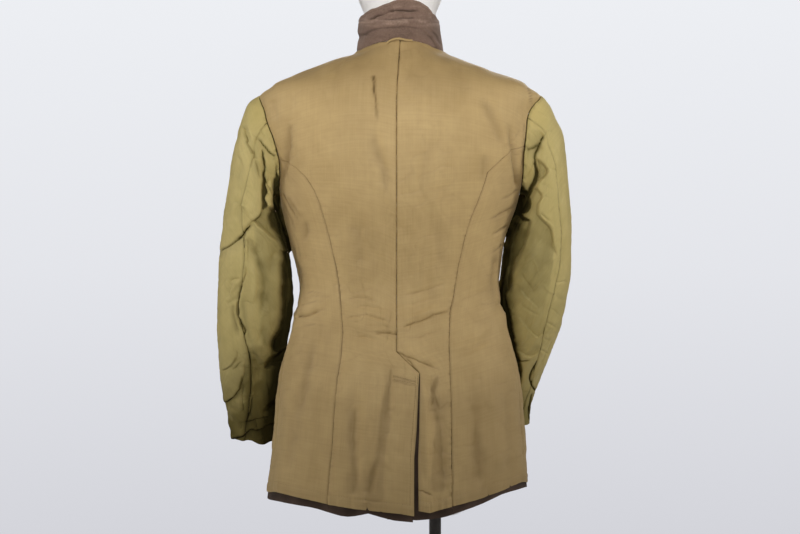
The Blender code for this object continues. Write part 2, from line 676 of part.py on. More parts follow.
# the pole is a turned profile: foot, tube and the flange under the form
profile = ((0.0, FORM_LOW - 0.0004), (0.016, FORM_LOW - 0.0004), (0.016, FORM_LOW - 0.0030), (0.012, FORM_LOW - 0.0042),
           (POLE_R, FORM_LOW - 0.0080), (POLE_R, BASE_H + 0.030), (0.017, BASE_H + 0.026), (0.018, BASE_H + 0.0004),
           (0.0, BASE_H + 0.0004))
mesh = bpy.data.meshes.new("stand_pole")
mesh.from_pydata([(r, 0, z) for r, z in profile], [(k, k + 1) for k in range(len(profile) - 1)], [])
pole = finish("stand_pole", mesh, STEEL)
pole.location.x = POLE_X
turn = pole.modifiers.new("turn", "SCREW")
turn.steps = turn.render_steps = 20
turn.use_merge_vertices = True
turn.merge_threshold = 0.0001
turn.use_normal_calculate = True
turn.use_normal_flip = True

bpy.ops.mesh.primitive_cylinder_add(vertices=48, radius=BASE_R, depth=BASE_H, location=(0, 0, BASE_H / 2))
base = bpy.context.object
base.name = base.data.name = "stand_base"
base.data.materials.append(STEEL)
for c in base.users_collection:
    c.objects.unlink(base)
collection.objects.link(base)
round_edge = base.modifiers.new("edge", "BEVEL")
round_edge.width = 0.0015
round_edge.segments = 2
round_edge.limit_method = "ANGLE"
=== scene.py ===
"""Looks of the inside-out service jacket on its dress form.

Every cloth piece is a thin shell on the same surface as its CAD solid, with
its folds placed one by one. Lengths are metres, in the CAD model's frame.
"""
import math

import bpy
import numpy as np
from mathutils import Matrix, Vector


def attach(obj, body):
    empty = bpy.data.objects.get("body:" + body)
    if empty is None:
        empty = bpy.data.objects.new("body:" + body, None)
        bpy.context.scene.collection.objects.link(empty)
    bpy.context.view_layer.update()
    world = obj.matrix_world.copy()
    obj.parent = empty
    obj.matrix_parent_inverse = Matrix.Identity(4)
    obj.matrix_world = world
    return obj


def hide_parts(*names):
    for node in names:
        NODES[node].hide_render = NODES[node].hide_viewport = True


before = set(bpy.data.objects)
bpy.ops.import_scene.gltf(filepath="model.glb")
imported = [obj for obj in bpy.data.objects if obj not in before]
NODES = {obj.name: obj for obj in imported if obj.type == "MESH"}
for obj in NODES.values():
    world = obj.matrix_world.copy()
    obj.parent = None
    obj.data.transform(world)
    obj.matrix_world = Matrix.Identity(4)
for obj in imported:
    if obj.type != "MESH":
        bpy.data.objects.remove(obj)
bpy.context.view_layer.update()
MM = 0.001

# ---------------------------------------------------------------- the CAD model's surface
LINING, SHELL, SLEEVE, COLLAR = 0.0010, 0.0016, 0.0018, 0.0030
SHELL_DEPTH = 0.0018
CENTRE_BACK = -0.0055
VENT_TOP, VENT_UNDER = 1.012, -0.0200
LAP, LAP_DEPTH = 0.0250, 0.0046
ARM_TOP, ARM_LOW, ARM_HALF = 1.4393, 1.2745, 0.0620
SIDE_SEAM = math.radians(98)
JOIN = {-1: 112.0, 1: 97.0}
SLEEVE_FRONT_SEAM = 265.0
# The sleeves' back seam, as the photograph draws it
SLEEVE_SEAM_SEEN = {-1: ((267.5, 121), (257.5, 136), (253, 157), (246, 185), (241, 205), (242, 226), (243.5, 245), (244, 262),
                         (241, 286), (237.5, 312), (243, 332), (249, 357), (250.5, 380), (249, 405), (246, 425), (243, 445)),
                    1: ((528, 117), (545, 131.5), (547, 141), (551, 152), (556.5, 170), (559, 210), (561.5, 230), (561, 260),
                        (558, 275), (554, 292), (548, 315), (543.5, 335), (541, 348), (537, 362), (533, 377), (531.5, 393),
                        (530, 405), (528, 428))}

RINGS = np.array((
    # z_back  z_side  z_front  left    right   back    front   square
    (0.7450, 0.7450, 0.7450, 0.2265, 0.2185, 0.1570, 0.1420, 2.25),
    (0.8600, 0.8600, 0.8600, 0.2110, 0.2090, 0.1500, 0.1380, 2.30),
    (0.9700, 0.9700, 0.9700, 0.2000, 0.1980, 0.1370, 0.1330, 2.35),
    (1.0500, 1.0500, 1.0500, 0.1800, 0.1800, 0.1130, 0.1290, 2.40),
    (1.1150, 1.1150, 1.1150, 0.1685, 0.1660, 0.0970, 0.1250, 2.40),
    (1.1900, 1.1900, 1.1900, 0.1840, 0.1745, 0.1080, 0.1250, 2.40),
    (1.2500, 1.2500, 1.2500, 0.1985, 0.1940, 0.1210, 0.1260, 2.40),
    (1.3000, 1.3000, 1.3000, 0.2045, 0.2065, 0.1280, 0.1265, 2.45),
    (1.3550, 1.3480, 1.3450, 0.2145, 0.2150, 0.1295, 0.1260, 2.50),
    (1.4070, 1.4000, 1.3850, 0.2260, 0.2250, 0.1245, 0.1220, 2.55),
    (1.4450, 1.4395, 1.4150, 0.2325, 0.2305, 0.1140, 0.1120, 2.55),
    (1.4735, 1.4655, 1.4370, 0.1830, 0.1830, 0.1010, 0.0990, 2.40),
    (1.4930, 1.4845, 1.4500, 0.1330, 0.1270, 0.0885, 0.0865, 2.25),
    (1.5070, 1.5015, 1.4575, 0.0860, 0.0890, 0.0785, 0.0765, 2.10),
    (1.5160, 1.5160, 1.4620, 0.0725, 0.0735, 0.0720, 0.0700, 2.05),
))
ZB, ZS, ZF, LEFT, RIGHT, BACK, FRONT, SQUARE = range(8)
NECK = len(RINGS) - 1

PRINCESS = {
    -1: np.array(((0.740, 0.1160), (0.797, 0.1137), (0.860, 0.1080), (0.918, 0.1040), (0.976, 0.0992), (1.007, 0.0940),
                  (1.046, 0.0917), (1.104, 0.0970), (1.151, 0.1035), (1.180, 0.1100), (1.213, 0.1180), (1.252, 0.1290),
                  (1.274, 0.1390), (1.294, 0.1520), (1.310, 0.1690))),
    1: np.array(((0.740, 0.0825), (0.847, 0.0817), (0.936, 0.0810), (1.024, 0.0780), (1.080, 0.0810), (1.104, 0.0870),
                 (1.151, 0.0940), (1.189, 0.1030), (1.222, 0.1120), (1.247, 0.1220), (1.279, 0.1340), (1.301, 0.1410),
                 (1.314, 0.1550), (1.337, 0.1790)))}

HEM = np.array(((-180, 0.780, 0.770), (-130, 0.779, 0.769), (-90, 0.775, 0.765), (-70, 0.778, 0.7690),
                (-52, 0.779, 0.7705), (-38, 0.777, 0.7690), (-24, 0.772, 0.762), (-8, 0.767, 0.7595),
                (8.8, 0.7625, 0.756), (10.3, 0.7700, 0.7590), (20, 0.7710, 0.7610), (35, 0.780, 0.7720),
                (50, 0.788, 0.7835), (70, 0.791, 0.7850), (90, 0.792, 0.7850), (130, 0.786, 0.776), (180, 0.780, 0.770)))

# The hem behind, as the photograph draws it: lining and shell, left and right of the vent
HEM_SEEN = {-1: (((240, 486), (268, 490), (295, 497), (330, 505), (355, 509), (400, 514), (420, 517)),
                 ((240, 494), (267, 499), (290, 504), (313, 508), (330, 513), (345, 517), (357, 516), (368, 513.5), (380, 517),
                  (395, 521), (420, 523))),
            1: (((380, 509), (418, 511), (430, 513), (452, 507), (480, 499), (505, 490), (527, 480), (560, 474)),
                ((380, 519.5), (415, 520.5), (430, 519.5), (445, 517.5), (462, 511.5), (478, 506), (505, 493.5), (522, 489), (527, 486),
                 (560, 479)))}

# The vent's two edges from hem to top: height, middle edge of the left and of the right piece
VENT = np.array(((0.740, 0.0218, 0.0290), (0.852, 0.0222, 0.0282), (0.895, 0.0260, 0.0300), (0.960, 0.0288, 0.0312),
                 (0.983, 0.0304, 0.0312)))
VENT_SLOPE = 0.983, 1.017

SLEEVE_ROWS = {-1: np.array((
    # x_out   y_out   z_out   x_in    y_in    z_in    half    turn
    (0.2530, 0.0000, 1.4250, 0.2110, 0.0000, 1.2690, 0.0630, 0),
    (0.2635, 0.0000, 1.4010, 0.2080, 0.0010, 1.2560, 0.0640, 0),
    (0.2735, 0.0000, 1.3680, 0.2030, 0.0020, 1.2380, 0.0640, 0),
    (0.2815, 0.0000, 1.3260, 0.1970, 0.0040, 1.2160, 0.0620, -2),
    (0.2900, 0.0020, 1.2760, 0.1905, 0.0060, 1.1900, 0.0600, -4),
    (0.2995, 0.0050, 1.2160, 0.1840, 0.0100, 1.1560, 0.0570, -4),
    (0.3060, 0.0090, 1.1520, 0.1815, 0.0160, 1.1140, 0.0550, -4),
    (0.3095, 0.0160, 1.0820, 0.1845, 0.0280, 1.0640, 0.0520, -4),
    (0.3095, 0.0260, 1.0130, 0.1950, 0.0440, 1.0060, 0.0490, -4),
    (0.3050, 0.0380, 0.9420, 0.2020, 0.0640, 0.9400, 0.0450, -4),
    (0.2955, 0.0500, 0.8880, 0.2050, 0.0800, 0.8860, 0.0420, -4),
    (0.2890, 0.0560, 0.8520, 0.2070, 0.0880, 0.8460, 0.0410, -4))),
    1: np.array((
    (0.2500, 0.0000, 1.4230, 0.2120, 0.0000, 1.2690, 0.0630, -4),
    (0.2600, 0.0000, 1.4010, 0.2090, 0.0010, 1.2560, 0.0640, -12),
    (0.2725, 0.0000, 1.3730, 0.2025, 0.0020, 1.2380, 0.0640, -22),
    (0.2785, 0.0000, 1.3280, 0.1930, 0.0040, 1.2150, 0.0620, -30),
    (0.2835, 0.0020, 1.2800, 0.1865, 0.0080, 1.1880, 0.0590, -36),
    (0.2885, 0.0060, 1.2260, 0.1815, 0.0140, 1.1550, 0.0550, -38),
    (0.2895, 0.0120, 1.1640, 0.1760, 0.0240, 1.1180, 0.0510, -36),
    (0.2850, 0.0220, 1.1050, 0.1770, 0.0440, 1.0800, 0.0470, -34),
    (0.2735, 0.0380, 1.0470, 0.1770, 0.0760, 1.0340, 0.0420, -30),
    (0.2570, 0.0600, 0.9940, 0.1740, 0.1080, 0.9880, 0.0370, -26),
    (0.2375, 0.0840, 0.9420, 0.1690, 0.1360, 0.9420, 0.0330, -22),
    (0.2265, 0.1000, 0.9020, 0.1650, 0.1520, 0.9020, 0.0330, -20),
    (0.2250, 0.1060, 0.8720, 0.1640, 0.1560, 0.8760, 0.0330, -20)))}

COLLAR_ROWS = np.array((
    (1.5170, 1.5170, 1.4634, 0.0726, 0.0736, 0.0721, 0.0700),
    (1.5330, 1.5310, 1.4740, 0.0718, 0.0705, 0.0742, 0.0720),
    (1.5500, 1.5460, 1.4860, 0.0712, 0.0680, 0.0735, 0.0730),
    (1.5680, 1.5600, 1.4980, 0.0700, 0.0680, 0.0715, 0.0740),
    (1.5810, 1.5690, 1.5060, 0.0690, 0.0685, 0.0700, 0.0750)))
COLLAR_END = math.radians(168)


def smooth(a, b, x):
    u = np.clip((x - a) / (b - a), 0.0, 1.0)
    return u * u * (3 - 2 * u)


def rows_at(table, t):
    """Smooth value of every column of a table at row t, counted from 0."""
    last = len(table) - 1
    t = np.clip(np.asarray(t, float), 0.0, last)
    k = np.minimum(t.astype(int), last - 1)
    u = (t - k)[..., None] if table.ndim == 2 else (t - k)
    ext = np.concatenate(([2 * table[0] - table[1]], table, [2 * table[-1] - table[-2]]))
    p0, p1, p2, p3 = ext[k], ext[k + 1], ext[k + 2], ext[k + 3]
    m1, m2 = (p2 - p0) / 2, (p3 - p1) / 2
    return p1 + u * (m1 + u * (3 * (p2 - p1) - 2 * m1 - m2 + u * (m1 + m2 - 2 * (p2 - p1))))


def ring_point(row, th):
    s, c = np.sin(th), np.cos(th)
    half = np.where(s >= 0, row[..., RIGHT], row[..., LEFT])
    depth = np.where(c >= 0, row[..., BACK], row[..., FRONT])
    n = row[..., SQUARE]
    r = ((np.abs(s) / half) ** n + (np.abs(c) / depth) ** n) ** (-1.0 / n)
    z = row[..., ZS] + (np.where(c >= 0, row[..., ZB], row[..., ZF]) - row[..., ZS]) * c * c
    return np.stack((r * s, -r * c, z), -1)


def body(th, t):
    return ring_point(rows_at(RINGS, t), np.asarray(th, float))


def outward(th, t):
    e = 1e-3
    along = body(th + e, t) - body(th - e, t)
    up = body(th, np.minimum(t + e, NECK)) - body(th, np.maximum(t - e, 0))
    n = np.cross(along, up)
    return n / np.linalg.norm(n, axis=-1, keepdims=True)


T_FINE = np.linspace(0, NECK, 6001)
Z_FINE = rows_at(RINGS, T_FINE)[:, ZS]


def level(z):
    return np.interp(z, Z_FINE, T_FINE)


def angle_at_x(t, x, behind=True):
    row = rows_at(RINGS, t)
    half = np.where(x >= 0, row[..., RIGHT], row[..., LEFT])
    depth = row[..., BACK] if behind else row[..., FRONT]
    u = np.minimum(np.abs(x) / half, 1.0)
    y = depth * (1 - u ** row[..., SQUARE]) ** (1 / row[..., SQUARE])
    return np.arctan2(x, y) if behind else np.arctan2(x, -y)


def angle_at_y(t, y, side):
    row = rows_at(RINGS, t)
    half = row[..., RIGHT] if side > 0 else row[..., LEFT]
    depth = np.where(y < 0, row[..., BACK], row[..., FRONT])
    x = half * (1 - np.minimum(np.abs(y) / depth, 1.0) ** row[..., SQUARE]) ** (1 / row[..., SQUARE])
    return np.arctan2(x, -y)


def armhole(deg, side):
    a = np.radians(np.asarray(deg, float))
    z = (ARM_TOP + ARM_LOW) / 2 + (ARM_TOP - ARM_LOW) / 2 * np.cos(a)
    t = level(z)
    return angle_at_y(t, -ARM_HALF * np.sin(a) + 0.010 * (1 - np.cos(a)) / 2, side), t


def hem_row(th, layer, side):
    """Row of the hem at an angle: as drawn behind, level in front."""
    deg = np.degrees(np.arctan2(np.sin(th), np.cos(th)))
    z = np.interp(deg, HEM[:, 0], HEM[:, layer])
    p = body(np.clip(th, -2.0, 2.0), np.full(np.shape(th), 0.26))
    seen = np.array(HEM_SEEN[side][layer - 1])
    drawn = 1.15 - (np.interp(picture(p)[0], seen[:, 0], seen[:, 1]) - 267) * (2.0 + p[..., 1]) / 1190.0
    return level(z + (drawn - z) * smooth(92, 66, np.abs(deg)))


def princess(t, side):
    z = rows_at(RINGS, t)[..., ZS]
    th, join = armhole(JOIN[side], side)
    x_join = abs(body(side * th, join)[0])
    table = np.vstack((PRINCESS[side], (rows_at(RINGS, join)[ZS], x_join)))
    return angle_at_x(t, side * np.interp(z, table[:, 0], table[:, 1]))


def back_edge(t, side, layer):
    """The back pieces' middle edge: the seam, a slope over the vent's top, then the vent's own edge."""
    z = rows_at(RINGS, t)[..., ZS]
    seam = CENTRE_BACK + 0.0055 * smooth(1.40, 1.515, z)
    opened = np.clip((VENT_SLOPE[1] - z) / (VENT_SLOPE[1] - VENT_SLOPE[0]), 0, 1)
    if layer == 2:
        opened = 1 - smooth(VENT_TOP - 0.030, VENT_TOP + 0.024, z)
    edge = np.interp(z, VENT[:, 0], VENT[:, 1 if side < 0 else 2])
    if layer == 2:
        edge = edge - 0.0015 if side < 0 else VENT_UNDER
    elif side > 0:
        edge = edge - (edge - np.interp(z, VENT[:, 0], VENT[:, 1])) * smooth(0.980, 0.990, z)
    return angle_at_x(t, seam + (edge - seam) * opened), z


def side_edge(t, side):
    th_low = armhole(180, side)[0]
    z = rows_at(RINGS, t)[..., ZS]
    return side * (SIDE_SEAM + (th_low - SIDE_SEAM) * smooth(1.15, ARM_LOW, z))


def arm_edge(t, side, front):
    """Angle of the armhole's edge at row t, behind or in front."""
    z = rows_at(RINGS, t)[..., ZS]
    mid, half = (ARM_TOP + ARM_LOW) / 2, (ARM_TOP - ARM_LOW) / 2
    a = np.degrees(np.arccos(np.clip((z - mid) / half, -1, 1)))
    return side * armhole(360 - a if front else a, side)[0]


# ---------------------------------------------------------------- noise and folds
def _lattice(i, j, seed):
    h = (i * 374761393 + j * 668265263 + seed * 974634777) & 0xFFFFFFFF
    h = ((h ^ (h >> 13)) * 1274126177) & 0xFFFFFFFF
    return ((h ^ (h >> 16)) & 0xFFFFFF) / float(0xFFFFFF) * 2 - 1


def noise(x, y, seed):
    x, y = np.broadcast_arrays(np.asarray(x, float), np.asarray(y, float))
    i, j = np.floor(x).astype(np.int64), np.floor(y).astype(np.int64)
    u, v = x - i, y - j
    u, v = u * u * u * (u * (6 * u - 15) + 10), v * v * v * (v * (6 * v - 15) + 10)
    a, b = _lattice(i, j, seed), _lattice(i + 1, j, seed)
    c, d = _lattice(i, j + 1, seed), _lattice(i + 1, j + 1, seed)
    return (a + (b - a) * u) * (1 - v) + (c + (d - c) * u) * v


def fbm(x, y, seed, octaves=3):
    out, amp = 0.0, 1.0
    for k in range(octaves):
        out = out + amp * noise(x * 2 ** k + 17.3 * k, y * 2 ** k - 9.1 * k, seed + k)
        amp *= 0.5
    return out / 1.6


def crumple(x, y, seed, count=6):
    """Facets with sharp edges, as crisp cloth takes when it is crushed."""
    out = 0.0
    for k in range(count):
        a, f = 2.399 * k + 0.7 * seed, 0.62 + 0.24 * k
        q = (x * math.cos(a) + y * math.sin(a)) * f + 1.7 * noise(x * 0.42 + 3 * k, y * 0.42 - 5 * k, seed + k) + 1.7 * k
        facet = np.abs(q - np.floor(q + 0.5)) * 4 - 1
        facet = facet * (1.18 - 0.18 * facet * facet)
        out = out + facet / f * smooth(-0.05, 0.60, noise(x * 0.40 + 9 * k, y * 0.40 + 4 * k, seed + 20 + k))
    return out * 0.42


def smooth_line(points, gap=1.3):
    p = np.array(points, float)
    if len(p) == 2:
        n = max(2, int(np.hypot(*(p[1] - p[0])) / gap))
        return p[0] + (p[1] - p[0]) * np.linspace(0, 1, n + 1)[:, None]
    ts = np.concatenate([np.linspace(k, k + 1, max(2, int(np.hypot(*(p[k + 1] - p[k])) / gap)), endpoint=False)
                         for k in range(len(p) - 1)] + [[len(p) - 1]])
    return rows_at(p, ts)


def near_line(px, py, line):
    """Distance (right of the way of travel positive) and share of the length at the nearest point."""
    a, d = line[:-1], line[1:] - line[:-1]
    ln = np.hypot(d[:, 0], d[:, 1]) + 1e-9
    rx, ry = px[:, None] - a[:, 0], py[:, None] - a[:, 1]
    t = np.clip((rx * d[:, 0] + ry * d[:, 1]) / ln ** 2, 0, 1)
    qx, qy = rx - t * d[:, 0], ry - t * d[:, 1]
    d2 = qx * qx + qy * qy
    k = np.argmin(d2, 1)
    r = np.arange(len(px))
    sign = np.sign(d[k, 0] * ry[r, k] - d[k, 1] * rx[r, k])
    cum = np.concatenate(([0], np.cumsum(ln)))
    s = (cum[k] + t[r, k] * ln[k]) / cum[-1]
    way = np.stack((d[k, 0] / ln[k], d[k, 1] / ln[k]), 1)
    return np.sqrt(d2[r, k]) * np.where(sign == 0, 1, sign), s, way, cum[-1]


def inside_of(px, py, p):
    inside = np.zeros(len(px), bool)
    for (ax, ay), (bx, by) in zip(p, np.roll(p, -1, 0)):
        cross = (ay > py) != (by > py)
        with np.errstate(divide="ignore", invalid="ignore"):
            inside ^= cross & (px < (bx - ax) * (py - ay) / (by - ay) + ax)
    return inside


def folds(px, py, table, seed=0):
    """What a table of folds does at picture points: lift along the normal, slide in the picture, push away from the eye,
    and how deep in shade the hollows are."""
    shape = px.shape
    px, py = px.ravel(), py.ravel()
    # the lines wander a little, as cloth does
    wx, wy = (q + 0.65 * noise(px / 6.0, py / 6.0, seed + i) + 0.25 * noise(px / 2.6, py / 2.6, seed + i + 4)
              for q, i in ((px, 71), (py, 72)))
    lift, slide, push, dark = np.zeros(len(px)), np.zeros((len(px), 2)), np.zeros(len(px)), np.zeros(len(px))
    for number, fold in enumerate(table):
        kind, width, depth, points = fold[:4]
        p = np.array(points, float)
        reach = {"hollow": 2.5, "patch": 2.5, "drop": 8.0}.get(kind, 4.5) * width
        x0, y0 = p.min(0) - reach
        x1, y1 = p.max(0) + reach
        sel = np.nonzero((px > x0) & (px < x1) & (py > y0) & (py < y1))[0]
        if not len(sel):
            continue
        x, y = wx[sel], wy[sel]
        if kind in ("hollow", "patch"):
            d = np.abs(near_line(x, y, smooth_line(np.vstack((p, p[:1]))))[0])
            d = np.where(inside_of(x, y, smooth_line(np.vstack((p, p[:1])))), d, -d)
            f = smooth(-0.6 * width, 1.2 * width, d)
            if len(fold) > 4:
                f = f * smooth(fold[4][1], fold[4][0], y)
            if kind == "patch":                     # only shade
                dark[sel] = np.maximum(dark[sel], depth * f * (1 + 0.25 * noise(x / 7.0, y / 9.0, seed + number)))
                continue
            push[sel] = np.maximum(push[sel], min(depth, 6.2 * width) * MM * f)
            dark[sel] = np.maximum(dark[sel], min(depth / 20.0, 1.7) * f)
            continue
        ends = fold[4] if len(fold) > 4 else (0.25, 0.25)
        d, s, way, total = near_line(x, y, smooth_line(points))
        amp = depth * MM
        if ends[0] > 0:
            amp = amp * smooth(0, ends[0], s)
        if ends[1] > 0:
            amp = amp * smooth(0, ends[1], 1 - s)
        amp = amp * (1 + (0.14 if kind in ("line", "shade") else 0.40) * noise(s * total / 8.0, number * 7.7, seed + 31))
        width = width * (1 + 0.30 * noise(s * total / 11.0, number * 5.3, seed + 37))
        q = d / width
        if kind in ("line", "shade"):               # a crease too sharp, or too soft, to show more than its own shade
            shade = depth * np.exp(-q * q) * (amp / (depth * MM))
            dark[sel] = np.maximum(dark[sel], shade)
            if kind == "line":
                lift[sel] -= 0.0004 * np.exp(-q * q / 2) * np.clip(shade, 0, 1)
            continue
        if kind == "trough":
            f = -np.exp(-q * q)
        elif kind == "ridge":
            f = np.exp(-q * q)
        elif kind == "crack":
            f = -1 / (1 + q * q) ** 2
        elif kind == "vee":                         # sharp crease
            f = -np.maximum(0, 1 - np.abs(q)) ** 1.4
        elif kind == "pinch":                       # sharp ridge
            f = np.maximum(0, 1 - np.abs(q)) ** 1.4
        elif kind == "step":                        # right of the line stands proud
            f = np.tanh(q / 0.30) * np.exp(-(np.abs(q) / 2.0) ** 1.6)
        elif kind == "drop":                        # left of the line falls sharply and comes back slowly
            f = -np.where(d < 0, np.maximum(0, 1 - np.abs(d) / (7.0 * width)) ** 1.15 * smooth(0.5, -0.9, d), smooth(0.5, -0.9, d))
            f = f + 0.12 * np.where(d > 0, np.maximum(0, 1 - d / (5.0 * width)), 0) * smooth(-0.2, 0.9, d)
            lean = amp * 0.30 * np.exp(-(d / 1.6) ** 2) * (d > -0.5)
            slide[sel, 0] += way[:, 1] * lean
            slide[sel, 1] -= way[:, 0] * lean
        lift[sel] += amp * f
    return lift.reshape(shape), slide.reshape(shape + (2,)), push.reshape(shape), dark.reshape(shape)


def picture(p):
    """Where a point lies in the photograph's frame."""
    k = 1190.0 / (2.0 + p[..., 1])
    return 400 + p[..., 0] * k, 267 - (p[..., 2] - 1.15) * k


def front_picture(p):
    """The same, for a camera as far in front of the jacket."""
    k = 1190.0 / (2.0 - p[..., 1])
    return 400 - p[..., 0] * k, 267 - (p[..., 2] - 1.15) * k


def side_picture(p, side):
    k = 1190.0 / (2.0 - side * p[..., 0])
    return 400 + side * p[..., 1] * k, 267 - (p[..., 2] - 1.15) * k


# Small shifts in the picture where the photograph's armholes leave the plain curve: dx, x, y, reach across and down
ARM_SHIFTS = ((-3.0, 269, 122, 14, 17), (1.6, 279, 166, 12, 16), (-3.4, 531, 113, 14, 17), (5.0, 264, 87, 10, 6.5),
              (-4.0, 534, 87, 9, 6.0), (2.6, 541, 97, 7, 5), (-4.0, 499, 71, 14, 6))


def ease(p):
    """The same small shifts of armholes and neck line for every piece that meets there."""
    px, py = picture(p)
    behind = smooth(0.045, -0.010, p[..., 1])
    dx = sum(a * np.exp(-((px - x) / rx) ** 2 - ((py - y) / ry) ** 2) for a, x, y, rx, ry in ARM_SHIFTS)
    off = np.abs(px - 400)
    dy = (4.0 * smooth(18, 42, off) - 2.6 * np.exp(-(off / 15) ** 2)) * np.exp(-((py - 45) / 9.0) ** 2) * smooth(66, 48, off)
    k = behind * (2.0 + p[..., 1]) / 1190.0
    q = p.copy()
    q[..., 0] += dx * k
    q[..., 2] -= dy * k
    return q


